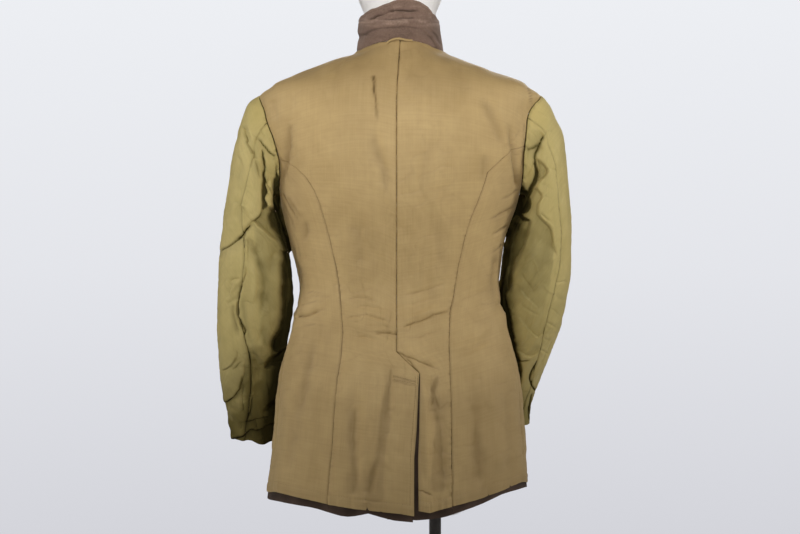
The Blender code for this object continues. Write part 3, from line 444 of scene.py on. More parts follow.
# Folds of the back: kind, width in picture points, depth in mm, line, fading ends
BACK_FOLDS = (
    # round the left armhole
    ("trough", 3.0, 5.2, ((288, 123), (288.5, 134), (287, 148), (285.5, 162), (282, 186)), (0.1, 0.3)),
    ("vee", 2.0, 1.8, ((283, 133), (284.5, 126), (290, 120.5), (297, 119)), (0.3, 0.3)),
    ("ridge", 4.6, 2.4, ((297, 122), (299, 145), (303, 165))),
    ("trough", 2.6, 2.2, ((272, 99), (274, 110), (276, 121))),
    ("trough", 3.0, 1.8, ((292, 92), (291, 106), (288, 117))),
    ("vee", 1.5, 1.2, ((271, 138), (277, 145), (283, 152)), (0.1, 0.4)),
    ("vee", 1.5, 1.2, ((275, 150), (280, 158), (284, 167)), (0.1, 0.4)),
    ("vee", 1.5, 1.2, ((281, 160), (287, 172), (290, 184)), (0.2, 0.4)),
    ("vee", 1.7, 2.2, ((281.5, 192), (289, 205), (300, 223)), (0.1, 0.3)),
    ("vee", 1.7, 1.9, ((288, 196), (295, 207), (303, 219)), (0.2, 0.3)),
    ("ridge", 3.2, 2.0, ((285, 190), (292, 202), (303, 217))),
    ("trough", 2.6, 3.4, ((305, 219), (305.5, 230), (303, 245)), (0.3, 0.5)),
    ("trough", 2.8, 2.2, ((295, 260), (300, 276), (299, 292))),
    ("vee", 1.4, 1.2, ((303, 250), (310, 264), (313, 280))),
    # waist, left to right
    ("vee", 2.1, 2.6, ((298, 317), (308, 315), (318, 311), (329, 307)), (0.0, 0.5)),
    ("ridge", 3.0, 1.8, ((299, 311), (314, 307), (330, 300)), (0.1, 0.5)),
    ("vee", 2.1, 1.2, ((306, 298), (318, 296), (334, 298))),
    ("vee", 2.1, 1.0, ((310, 331), (322, 326), (338, 325))),
    ("vee", 2.1, 1.4, ((346, 300), (360, 297), (378, 301))),
    ("vee", 2.1, 1.2, ((350, 309), (368, 306), (391, 311))),
    ("vee", 2.1, 1.5, ((345, 318), (366, 315), (394, 322)), (0.1, 0.2)),
    ("vee", 2.1, 1.2, ((360, 327), (378, 325), (395, 329)), (0.3, 0.1)),
    ("vee", 2.1, 2.2, ((370, 333), (384, 332.5), (396, 334)), (0.4, 0.0)),
    ("vee", 2.1, 1.2, ((346, 338), (362, 336), (384, 342))),
    ("vee", 2.1, 1.3, ((402, 296), (420, 292), (446, 284))),
    ("vee", 2.1, 1.2, ((402, 306), (420, 302), (446, 295))),
    ("vee", 1.9, 2.8, ((402, 327), (420, 321), (436, 314), (451, 309)), (0.1, 0.1)),
    ("ridge", 2.6, 2.0, ((403, 320), (420, 315), (440, 306))),
    ("vee", 2.1, 1.2, ((404, 339), (422, 336), (444, 328))),
    ("vee", 2.1, 1.1, ((457, 300), (472, 296), (490, 289))),
    ("vee", 2.1, 1.1, ((456, 319), (474, 313), (496, 304)), (0.1, 0.4)),
    ("pinch", 3.6, 2.8, ((448, 354), (466, 343), (484, 331), (500, 318)), (0.2, 0.5)),
    ("trough", 3.0, 2.6, ((455, 359), (470, 350), (488, 338), (500, 329)), (0.3, 0.5)),
    # right side and armhole
    ("trough", 4.6, 2.8, ((478, 95), (488, 112), (498, 132), (507, 152))),
    ("ridge", 4.0, 2.0, ((488, 98), (498, 116), (506, 134))),
    ("trough", 3.0, 4.8, ((509, 118), (512, 146), (515, 167), (519, 189)), (0.3, 0.1)),
    ("ridge", 3.2, 2.6, ((503, 118), (506, 146), (509, 172))),
    ("trough", 4.0, 3.0, ((485, 150), (484, 164), (482, 184)), (0.4, 0.4)),
    ("vee", 1.5, 1.2, ((519, 130), (514, 140), (508, 147)), (0.1, 0.4)),
    ("vee", 1.5, 1.2, ((521, 150), (515, 158), (506, 164)), (0.1, 0.4)),
    ("vee", 1.6, 1.6, ((518, 190), (509, 196), (497, 200)), (0.05, 0.4)),
    ("vee", 2.2, 2.6, ((514, 207), (499, 216), (486, 221)), (0.05, 0.3)),
    ("vee", 2.0, 2.6, ((509, 225), (500, 231), (490, 236)), (0.05, 0.4)),
    ("vee", 1.6, 1.6, ((505, 243), (497, 250), (488, 254)), (0.05, 0.4)),
    ("trough", 3.0, 2.6, ((497, 255), (494, 272), (492, 292))),
    # middle
    ("vee", 1.5, 1.3, ((373, 74), (375, 96), (377, 122)), (0.05, 0.4)),
    ("trough", 5.0, 2.0, ((369, 126), (377, 148), (384, 168), (387, 200))),
    ("ridge", 4.2, 1.6, ((380, 124), (387, 146), (391, 168))),
    ("trough", 5.0, 2.0, ((340, 60), (336, 78), (338, 98))),
    ("trough", 5.0, 2.0, ((455, 60), (462, 80), (464, 100))),
    ("trough", 5.0, 1.6, ((418, 130), (424, 160), (420, 196))),
    ("trough", 5.0, 1.8, ((352, 215), (360, 240), (362, 272))),
    ("trough", 5.0, 1.0, ((430, 220), (438, 246), (434, 276))),
    # the vent
    ("vee", 1.6, 2.6, ((398, 352), (408, 357), (423, 362.5), (443, 371)), (0.0, 0.5)),
    ("ridge", 2.4, 1.2, ((404, 350), (422, 357), (444, 366)), (0.1, 0.4)),
    ("vee", 1.5, 2.0, ((405.5, 358.5), (412, 364), (419, 372)), (0.1, 0.1)),
    ("trough", 5.0, 3.8, ((391, 363), (389, 387), (385, 413), (380, 444), (374, 466), (367, 496)), (0.12, 0.05)),
    ("ridge", 5.0, 2.0, ((403, 386), (401, 412), (397, 450), (391, 500)), (0.2, 0.0)),
    ("trough", 6.0, 3.4, ((352, 380), (354, 410), (356, 450), (354, 498)), (0.3, 0.05)),
    ("ridge", 5.4, 2.6, ((368, 378), (367, 430), (362, 482)), (0.3, 0.1)),
    ("trough", 4.4, 3.0, ((431, 374), (433, 394), (435, 414)), (0.3, 0.3)),
    ("trough", 6.0, 3.8, ((435, 404), (438, 428), (440, 450), (443, 482)), (0.2, 0.1)),
    ("ridge", 3.6, 2.0, ((425, 392), (426, 430), (427, 480)), (0.3, 0.1)),
    ("vee", 1.8, 2.8, ((415.5, 489), (424, 492), (434, 496)), (0.0, 0.3)),
    # the skirt's sides
    ("trough", 5.0, 2.6, ((314, 334), (308, 364), (302, 396), (298, 430)), (0.2, 0.4)),
    ("trough", 5.4, 2.6, ((299, 380), (293, 420), (288, 472)), (0.3, 0.15)),
    ("ridge", 4.0, 2.6, ((318, 370), (313, 420), (309, 484)), (0.3, 0.1)),
    ("trough", 6.0, 2.6, ((474, 372), (476, 420), (478, 484)), (0.4, 0.1)),
    ("ridge", 4.6, 2.6, ((490, 372), (495, 420), (500, 474)), (0.4, 0.1)),
    ("trough", 5.0, 2.4, ((506, 372), (510, 430), (513, 478)), (0.4, 0.1)),
    ("vee", 1.6, 1.4, ((456, 386), (470, 380), (486, 378))),
    # soft shade in the worn folds
    ("shade", 3.2, 0.42, ((288, 122), (288.5, 134), (287, 148), (285.5, 162), (282, 186)), (0.15, 0.25)),
    ("shade", 2.6, 0.42, ((509, 118), (512, 146), (515, 167), (519, 189)), (0.3, 0.1)),
    ("shade", 3.4, 0.26, ((478, 95), (488, 112), (498, 132), (507, 152))),
    ("shade", 3.6, 0.36, ((485, 150), (484, 164), (482, 184)), (0.4, 0.4)),
    ("shade", 4.6, 0.17, ((369, 126), (377, 148), (384, 168), (387, 200)), (0.3, 0.3)),
    ("shade", 2.6, 0.36, ((305, 219), (305.5, 230), (303, 245)), (0.3, 0.4)),
    ("patch", 1.5, 0.26, ((389, 380), (390.5, 398), (390, 424), (386, 450), (384, 482), (382, 500), (367, 502), (369, 481),
                          (375, 462), (378, 448), (379.5, 428), (382, 405), (385, 385))),
    ("line", 1.3, 0.46, ((391, 362), (390, 374), (389, 388), (388.3, 402)), (0.3, 0.3)),
    ("line", 1.9, 0.34, ((387, 384), (383, 405), (380.5, 428), (379, 448), (375, 463)), (0.2, 0.3)),
    ("shade", 2.4, 0.24, ((377, 456), (371, 476), (367.5, 500)), (0.3, 0.1)),
    ("line", 1.6, 0.38, ((355, 402), (354.2, 420), (353.4, 440), (352, 462)), (0.3, 0.3)),
    ("shade", 2.6, 0.22, ((352, 404), (350, 430), (352, 455), (356, 478), (352, 498)), (0.3, 0.1)),
    ("patch", 1.7, 0.40, ((430.5, 388), (433, 382), (437, 376), (440, 378), (437, 388), (434.5, 402), (430.5, 404))),
    ("patch", 2.0, 0.30, ((437, 416), (440, 417), (442, 440), (443, 460), (445.5, 488), (431.5, 489), (432, 458), (435, 435))),
    ("line", 1.5, 0.34, ((439, 414), (441.2, 438), (442.3, 458), (445, 486)), (0.2, 0.2)),
    ("line", 1.1, 0.32, ((433, 388), (436, 399), (441, 411)), (0.3, 0.2)),
    ("line", 1.1, 0.24, ((439, 410), (444, 405), (450, 401)), (0.1, 0.4)),
    ("line", 1.1, 0.24, ((438, 411), (432, 409.5), (426, 412)), (0.1, 0.4)),
    # the bar across the vent's top and the lap's edge, sewn down
    ("line", 1.0, 0.50, ((392.5, 376), (404, 379), (416.6, 382.4)), (0.02, 0.02)),
    ("line", 1.0, 0.50, ((393, 380), (404, 382.8), (416.4, 386)), (0.02, 0.02)),
    ("line", 0.95, 0.34, ((416.4, 385), (415.8, 420), (414.4, 458)), (0.02, 0.3)),
    ("shade", 5.0, 0.22, ((474, 372), (476, 420), (478, 484)), (0.4, 0.1)),
    ("shade", 4.0, 0.22, ((314, 334), (308, 364), (302, 396), (298, 430)), (0.2, 0.4)),
    ("shade", 3.0, 0.30, ((490, 222), (500, 217), (512, 210)), (0.3, 0.1)),
    ("shade", 4.0, 0.30, ((497, 240), (494, 262), (493, 292), (497, 318)), (0.2, 0.3)),
    ("shade", 5.0, 0.26, ((300, 262), (304, 285), (303, 312)), (0.3, 0.3)),
    # sharp creases
    ("line", 1.15, 0.92, ((373, 74), (374.4, 90), (376, 105), (377.4, 124)), (0.05, 0.25)),
    ("line", 0.84, 0.73, ((398, 352), (408, 357), (423, 362.5), (443, 371)), (0.0, 0.4)),
    ("line", 0.77, 0.69, ((405.5, 358.5), (412, 364), (419, 372)), (0.1, 0.0)),
    ("line", 0.84, 0.65, ((373, 333.4), (384, 333), (396, 334)), (0.3, 0.0)),
    ("line", 0.84, 0.86, ((415.5, 489), (424, 492), (434, 496)), (0.0, 0.3)),
    ("line", 1.05, 0.47, ((299, 317), (308, 315), (318, 311), (329, 307)), (0.0, 0.5)),
    ("line", 1.05, 0.39, ((402, 327), (420, 321), (436, 314), (451, 309)), (0.1, 0.2)),
    ("line", 0.77, 0.77, ((527, 86), (530, 95), (531, 106)), (0.1, 0.3)),
    ("line", 0.77, 0.52, ((524.5, 115), (524, 140), (524, 176)), (0.2, 0.2)),
    ("line", 0.90, 0.45, ((284, 203), (290, 216), (296, 234)), (0.1, 0.4)),
    ("line", 0.85, 0.40, ((288, 196), (296, 208), (304, 219)), (0.2, 0.3)),
    ("line", 0.85, 0.35, ((293, 232), (299, 250), (301, 268)), (0.1, 0.4)),
    ("line", 0.85, 0.35, ((302, 296), (312, 292), (326, 293)), (0.0, 0.5)),
    ("line", 0.85, 0.32, ((300, 306), (313, 302), (330, 301)), (0.0, 0.5)),
    ("line", 0.85, 0.32, ((296, 329), (310, 325), (326, 324)), (0.0, 0.5)),
    ("line", 0.85, 0.40, ((518, 190), (509, 196), (497, 200)), (0.0, 0.4)),
    ("line", 0.85, 0.40, ((505, 243), (497, 250), (488, 254)), (0.0, 0.4)),
    ("line", 0.85, 0.35, ((502, 268), (494, 274), (483, 277)), (0.0, 0.4)),
    ("line", 0.85, 0.35, ((501, 300), (490, 304), (476, 304)), (0.0, 0.4)),
    ("line", 0.80, 0.35, ((519, 130), (514, 140), (508, 147)), (0.1, 0.4)),
    ("line", 0.80, 0.35, ((521, 150), (515, 158), (506, 164)), (0.1, 0.4)),
    ("line", 0.80, 0.32, ((271, 138), (277, 145), (283, 152)), (0.1, 0.4)),
    ("line", 0.80, 0.32, ((275, 150), (280, 158), (284, 167)), (0.1, 0.4)),
    ("line", 0.80, 0.32, ((281, 160), (287, 172), (290, 184)), (0.2, 0.4)),
    ("line", 0.90, 0.55, ((281.5, 192), (289, 205), (300, 223)), (0.1, 0.3)),
    ("line", 0.84, 0.47, ((513, 208), (500, 215), (487, 221)), (0.0, 0.4)),
    ("line", 0.84, 0.43, ((508, 226), (499, 231), (490, 236)), (0.0, 0.4)),
    ("line", 0.98, 0.34, ((484, 153), (485, 164), (483, 179)), (0.3, 0.3)),
    ("line", 0.80, 0.17, ((346, 300), (360, 297), (378, 301))), ("line", 0.80, 0.17, ((345, 318), (366, 315), (394, 322))),
    ("line", 0.80, 0.17, ((402, 296), (420, 292), (446, 284))), ("line", 0.80, 0.17, ((404, 339), (422, 336), (444, 328))),
    ("line", 0.80, 0.17, ((306, 298), (318, 296), (334, 298))), ("line", 0.80, 0.17, ((457, 300), (472, 296), (490, 289))),
    # little pleats in the hem
    ("vee", 1.9, 0.9, ((300, 484), (299, 498))), ("vee", 1.9, 0.8, ((316, 489), (315, 502))),
    ("vee", 1.9, 1.1, ((351, 494), (351, 510))), ("vee", 1.9, 1.1, ((367, 496), (367, 512))),
    ("vee", 1.9, 1.0, ((380, 499), (381, 514))), ("vee", 1.9, 0.8, ((337, 494), (336, 507))),
    ("vee", 1.9, 0.8, ((430, 501), (431, 514))), ("vee", 1.9, 0.8, ((470, 492), (471, 504))),
    ("vee", 2.2, 0.8, ((488, 486), (489, 498))), ("vee", 1.9, 0.8, ((510, 478), (511, 490))),
)

# Folds of the fronts, seen from the front
FRONT_FOLDS = (
    ("trough", 4.0, 3.0, ((300, 150), (292, 180), (286, 214)), (0.3, 0.2)),
    ("trough", 4.0, 3.0, ((504, 140), (510, 172), (514, 206)), (0.3, 0.2)),
    ("ridge", 4.4, 2.0, ((312, 150), (306, 182), (300, 214))),
    ("ridge", 4.4, 2.0, ((492, 144), (498, 176), (504, 210))),
    ("trough", 3.0, 2.0, ((330, 110), (346, 140), (352, 176))),
    ("trough", 3.0, 2.0, ((470, 108), (456, 140), (450, 178))),
    ("trough", 2.4, 1.8, ((306, 306), (330, 300), (360, 306))),
    ("trough", 2.4, 1.8, ((494, 300), (470, 294), (438, 302))),
    ("ridge", 3.0, 1.6, ((310, 292), (336, 288), (366, 294))),
    ("ridge", 3.0, 1.6, ((490, 312), (464, 306), (436, 314))),
    ("trough", 2.2, 1.4, ((330, 322), (360, 318), (392, 324))),
    ("trough", 2.2, 1.4, ((470, 328), (440, 322), (412, 328))),
    ("trough", 4.0, 3.4, ((338, 350), (334, 400), (328, 480)), (0.3, 0.1)),
    ("trough", 4.0, 3.0, ((462, 356), (466, 410), (472, 480)), (0.3, 0.1)),
    ("ridge", 5.0, 2.4, ((356, 350), (354, 410), (350, 490)), (0.3, 0.1)),
    ("ridge", 5.0, 2.4, ((446, 352), (450, 410), (454, 490)), (0.3, 0.1)),
    ("trough", 4.0, 2.6, ((300, 360), (292, 410), (286, 470)), (0.3, 0.1)),
    ("trough", 4.0, 2.6, ((500, 360), (508, 410), (512, 470)), (0.3, 0.1)),
    ("step", 2.0, 1.2, ((404, 340), (420, 360), (440, 372)), (0.1, 0.5)),
    ("trough", 3.0, 2.4, ((382, 330), (372, 372), (366, 420)), (0.3, 0.4)),
)

# Folds of the sides, seen from each side with the back to the left (on the right-hand side mirrored)
SIDE_FOLDS = (
    ("trough", 3.6, 2.6, ((372, 236), (384, 262), (392, 290))),
    ("trough", 3.4, 2.4, ((428, 240), (418, 266), (408, 292))),
    ("trough", 2.6, 2.0, ((360, 312), (384, 306), (420, 310))),
    ("ridge", 3.2, 1.8, ((362, 324), (390, 318), (432, 322))),
    ("trough", 4.0, 3.0, ((380, 350), (376, 410), (372, 480)), (0.3, 0.1)),
    ("ridge", 4.6, 2.4, ((396, 350), (396, 410), (394, 480)), (0.3, 0.1)),
    ("trough", 4.0, 3.0, ((416, 350), (420, 410), (424, 480)), (0.3, 0.1)),
)

# Folds of the left sleeve, seen from behind
LEFT_SLEEVE_FOLDS = (
    ("patch", 2.6, 0.34, ((253, 221), (262, 229), (281, 244), (294, 250), (296, 345), (268, 354), (259, 330), (265, 300),
                          (264, 280), (257, 254))),
    ("shade", 4.0, 0.34, ((261, 330), (263, 302), (264, 286), (262, 272), (256, 254), (250, 243)), (0.3, 0.2)),
    ("shade", 2.4, 0.40, ((246, 290), (243, 305), (246, 325), (252, 345)), (0.3, 0.3)),
    ("patch", 4.5, 0.40, ((246, 346), (262, 344), (286, 340), (286, 440), (246, 440), (244, 400))),
    ("shade", 2.4, 0.30, ((233, 303), (233, 314), (236, 326), (240, 338)), (0.2, 0.3)),
    ("shade", 2.0, 0.30, ((255, 158), (257, 166), (260, 180)), (0.3, 0.2)),
    ("drop", 1.6, 3.4, ((243, 124), (244.5, 136), (248, 146), (252, 155), (253, 160)), (0.15, 0.05)),
    ("ridge", 3.2, 1.6, ((249, 124), (252, 137), (256, 148))),
    ("drop", 1.4, 2.8, ((277, 157.5), (269, 151), (263, 142.5), (257.5, 136.5)), (0.05, 0.05)),
    ("line", 0.98, 1.29, ((276, 156.5), (269, 150.5), (263, 142.5), (258, 137)), (0.05, 0.3)),
    ("line", 0.77, 0.60, ((243, 124), (244.5, 136), (248, 146), (252, 155)), (0.2, 0.05)),
    ("vee", 1.6, 1.5, ((246, 131.5), (252, 134), (257.5, 137)), (0.3, 0.0)),
    ("vee", 1.5, 1.2, ((260, 128), (263, 133), (266, 138))),
    ("trough", 2.6, 1.4, ((236, 150), (240, 166), (238, 184))),
    ("trough", 3.0, 1.6, ((232, 196), (240, 208), (236, 222))),
    ("hollow", 1.15, 34.0, ((262, 150), (264, 153), (265.5, 165), (266, 178), (268, 190), (266.5, 198), (268, 206), (265, 209),
                           (261.5, 209), (261.7, 180), (263, 168), (261.7, 158))),
    ("hollow", 1.15, 34.0, ((276, 162), (277.5, 172), (280, 180), (280, 210), (273, 208.5), (273, 181), (275, 176))),
    ("ridge", 1.8, 3.0, ((270, 180), (270.5, 195), (270, 206)), (0.2, 0.0)),
    ("vee", 1.4, 2.0, ((268.5, 178), (268.3, 188)), (0.2, 0.2)),
    ("vee", 1.6, 1.8, ((266, 167), (270, 172), (277, 175)), (0.1, 0.1)),
    ("vee", 1.8, 2.0, ((255, 158), (257, 166), (260, 178)), (0.3, 0.3)),
    ("ridge", 2.4, 1.6, ((251, 165), (251, 178), (255, 192))),
    ("hollow", 1.15, 13.0, ((253, 221), (261, 211.5), (262, 208), (270, 208.5), (280, 209), (283, 222), (288, 235), (294, 246),
                           (294, 256), (284, 256), (281, 244.5), (272, 237.5), (262, 229.5))),
    ("hollow", 4.0, 40.0, ((268, 208), (280, 208), (283, 222), (288, 235), (295, 246), (292, 256), (286, 252), (277, 238),
                           (267, 222))),
    ("drop", 1.5, 4.4, ((262, 210), (254, 218), (246, 227), (240, 236), (233, 242), (219, 250.5)), (0.08, 0.0)),
    ("crack", 1.3, 4.5, ((251, 225.5), (245, 231), (240.5, 236), (235, 241)), (0.25, 0.3)),
    ("line", 1.19, 1.72, ((251, 225), (246, 229), (241, 235), (235, 240.5)), (0.15, 0.25)),
    ("line", 0.77, 0.86, ((240, 236.5), (233, 242), (220, 250)), (0.0, 0.1)),
    ("drop", 1.8, 1.8, ((253, 221), (247, 213), (241, 204)), (0.1, 0.05)),
    ("pinch", 2.8, 1.4, ((254, 224), (262, 231), (271, 238.5), (279, 245.5), (282, 254)), (0.2, 0.3)),
    ("trough", 4.4, 5.6, ((261, 321), (263, 302), (264, 286), (262, 272), (256, 254), (251, 243), (246, 234)), (0.3, 0.15)),
    ("ridge", 3.0, 2.0, ((251, 262), (255, 280), (254, 306)), (0.3, 0.4)),
    ("trough", 3.4, 1.8, ((277, 250), (271, 262), (272, 282)), (0.2, 0.5)),
    ("ridge", 2.6, 1.4, ((273, 259), (278, 257), (282, 259))),
    ("hollow", 3.4, 34.0, ((280.5, 250), (296, 250), (299, 270), (299, 312), (295, 326), (287, 345), (278, 353), (271, 352),
                           (270, 342), (276, 331), (279.5, 320), (280.5, 305), (279.8, 282), (280.5, 266))),
    ("ridge", 4.0, 2.2, ((277, 264), (277, 290), (276, 312), (270, 332)), (0.1, 0.3)),
    ("crack", 1.0, 2.2, ((245, 233), (244, 246), (243.7, 262)), (0.05, 0.1)),
    ("vee", 1.6, 2.4, ((247, 238), (247.5, 252), (247, 263)), (0.2, 0.1)),
    ("crack", 1.1, 3.0, ((247, 262), (245, 275), (241, 286), (239, 295), (237, 315), (240, 322)), (0.2, 0.0)),
    ("line", 0.98, 1.12, ((241.5, 284), (239.5, 294), (238, 304), (237.5, 315), (241, 323), (244.5, 333)), (0.1, 0.2)),
    ("hollow", 1.15, 18.0, ((239.5, 285), (242, 286), (241, 297), (239, 304), (237.5, 303), (238.3, 294))),
    ("hollow", 1.15, 12.0, ((236, 303), (239, 303), (239.2, 314), (237.5, 319), (235.7, 313))),
    ("hollow", 1.15, 18.0, ((238.5, 317), (242, 321), (245.5, 328), (245.7, 336), (243.5, 333), (240, 325))),
    ("crack", 1.1, 2.4, ((244, 332), (246, 345), (250, 357), (251, 373)), (0.0, 0.3)),
    ("line", 0.84, 0.60, ((244, 332), (246, 345), (250, 357), (251, 373), (250.5, 395)), (0.0, 0.1)),
    ("line", 0.84, 0.60, ((252.5, 397), (251.5, 408), (247, 420)), (0.05, 0.05)),
    ("pinch", 2.6, 2.4, ((229, 296), (234, 287), (240, 281), (245, 279)), (0.2, 0.2)),
    ("trough", 2.4, 2.6, ((226, 305), (232, 301), (238, 299)), (0.2, 0.1)),
    ("vee", 2.4, 3.0, ((233, 303), (233, 314), (236, 326), (240, 338)), (0.2, 0.3)),
    ("vee", 2.0, 2.0, ((228, 282), (234, 279), (241, 278))),
    ("trough", 3.0, 2.2, ((237, 270), (231, 282), (227, 300)), (0.3, 0.3)),
    ("vee", 1.8, 1.4, ((246, 300), (252, 304), (258, 303)), (0.1, 0.4)),
    ("trough", 2.6, 1.4, ((266, 322), (262, 334), (254, 346))),
    ("drop", 1.2, 2.2, ((236, 349), (235, 358), (230, 366), (223, 369)), (0.2, 0.05)),
    ("drop", 1.2, 1.8, ((243, 356), (240, 362), (232, 370)), (0.15, 0.2)),
    ("drop", 1.5, 3.4, ((243, 358), (243, 371), (240, 385), (232, 396), (224.5, 401.5)), (0.2, 0.0)),
    ("line", 0.84, 0.69, ((242, 374), (239.5, 386), (232, 396.5), (225, 401.5)), (0.2, 0.0)),
    ("line", 0.77, 0.52, ((235, 357), (230, 366), (223.5, 369.5)), (0.2, 0.0)),
    ("line", 0.77, 0.43, ((241, 361), (236, 366), (231, 370)), (0.2, 0.2)),
    ("vee", 1.7, 3.0, ((242, 384), (242.5, 398), (243, 413)), (0.1, 0.2)),
    ("vee", 1.7, 3.4, ((250.5, 373), (250.5, 384), (250.5, 395)), (0.1, 0.05)),
    ("vee", 1.7, 3.0, ((252.5, 397), (251.5, 408), (247, 420)), (0.05, 0.05)),
    ("drop", 1.4, 2.0, ((262, 396), (251, 395), (243, 395.5)), (0.3, 0.1)),
    ("hollow", 5.0, 8.0, ((252, 350), (266, 366), (265, 392), (252, 396), (250.5, 374))),
    ("hollow", 2.6, 20.0, ((286, 346), (286, 361), (274, 367), (264, 370), (268, 360))),
    ("hollow", 3.5, 15.0, ((283, 394), (283, 411), (264, 413), (272, 402))),
    ("line", 0.84, 0.95, ((279, 411.5), (268, 415.8), (256, 419), (246, 421)), (0.0, 0.0)),
    ("line", 1.12, 1.29, ((277, 420.5), (268, 425.5), (258, 429.3), (249, 430.5), (243, 436), (232, 439.5)), (0.0, 0.0)),
    ("drop", 1.6, 2.0, ((279, 411.5), (268, 416), (256, 419), (246, 421)), (0.0, 0.0)),
    ("vee", 1.4, 2.0, ((254.5, 419), (256.5, 428)), (0.0, 0.1)),
    ("vee", 1.4, 1.6, ((264, 416), (265, 424)), (0.0, 0.1)),
    ("vee", 1.4, 1.6, ((273, 413), (274, 421)), (0.0, 0.1)),
    ("vee", 1.8, 2.2, ((240, 421), (241, 429)), (0.1, 0.1)),
    ("drop", 1.8, 3.4, ((279, 419), (268, 425), (258, 429), (249, 430), (243, 436), (231, 439.5)), (0.0, 0.0)),
)

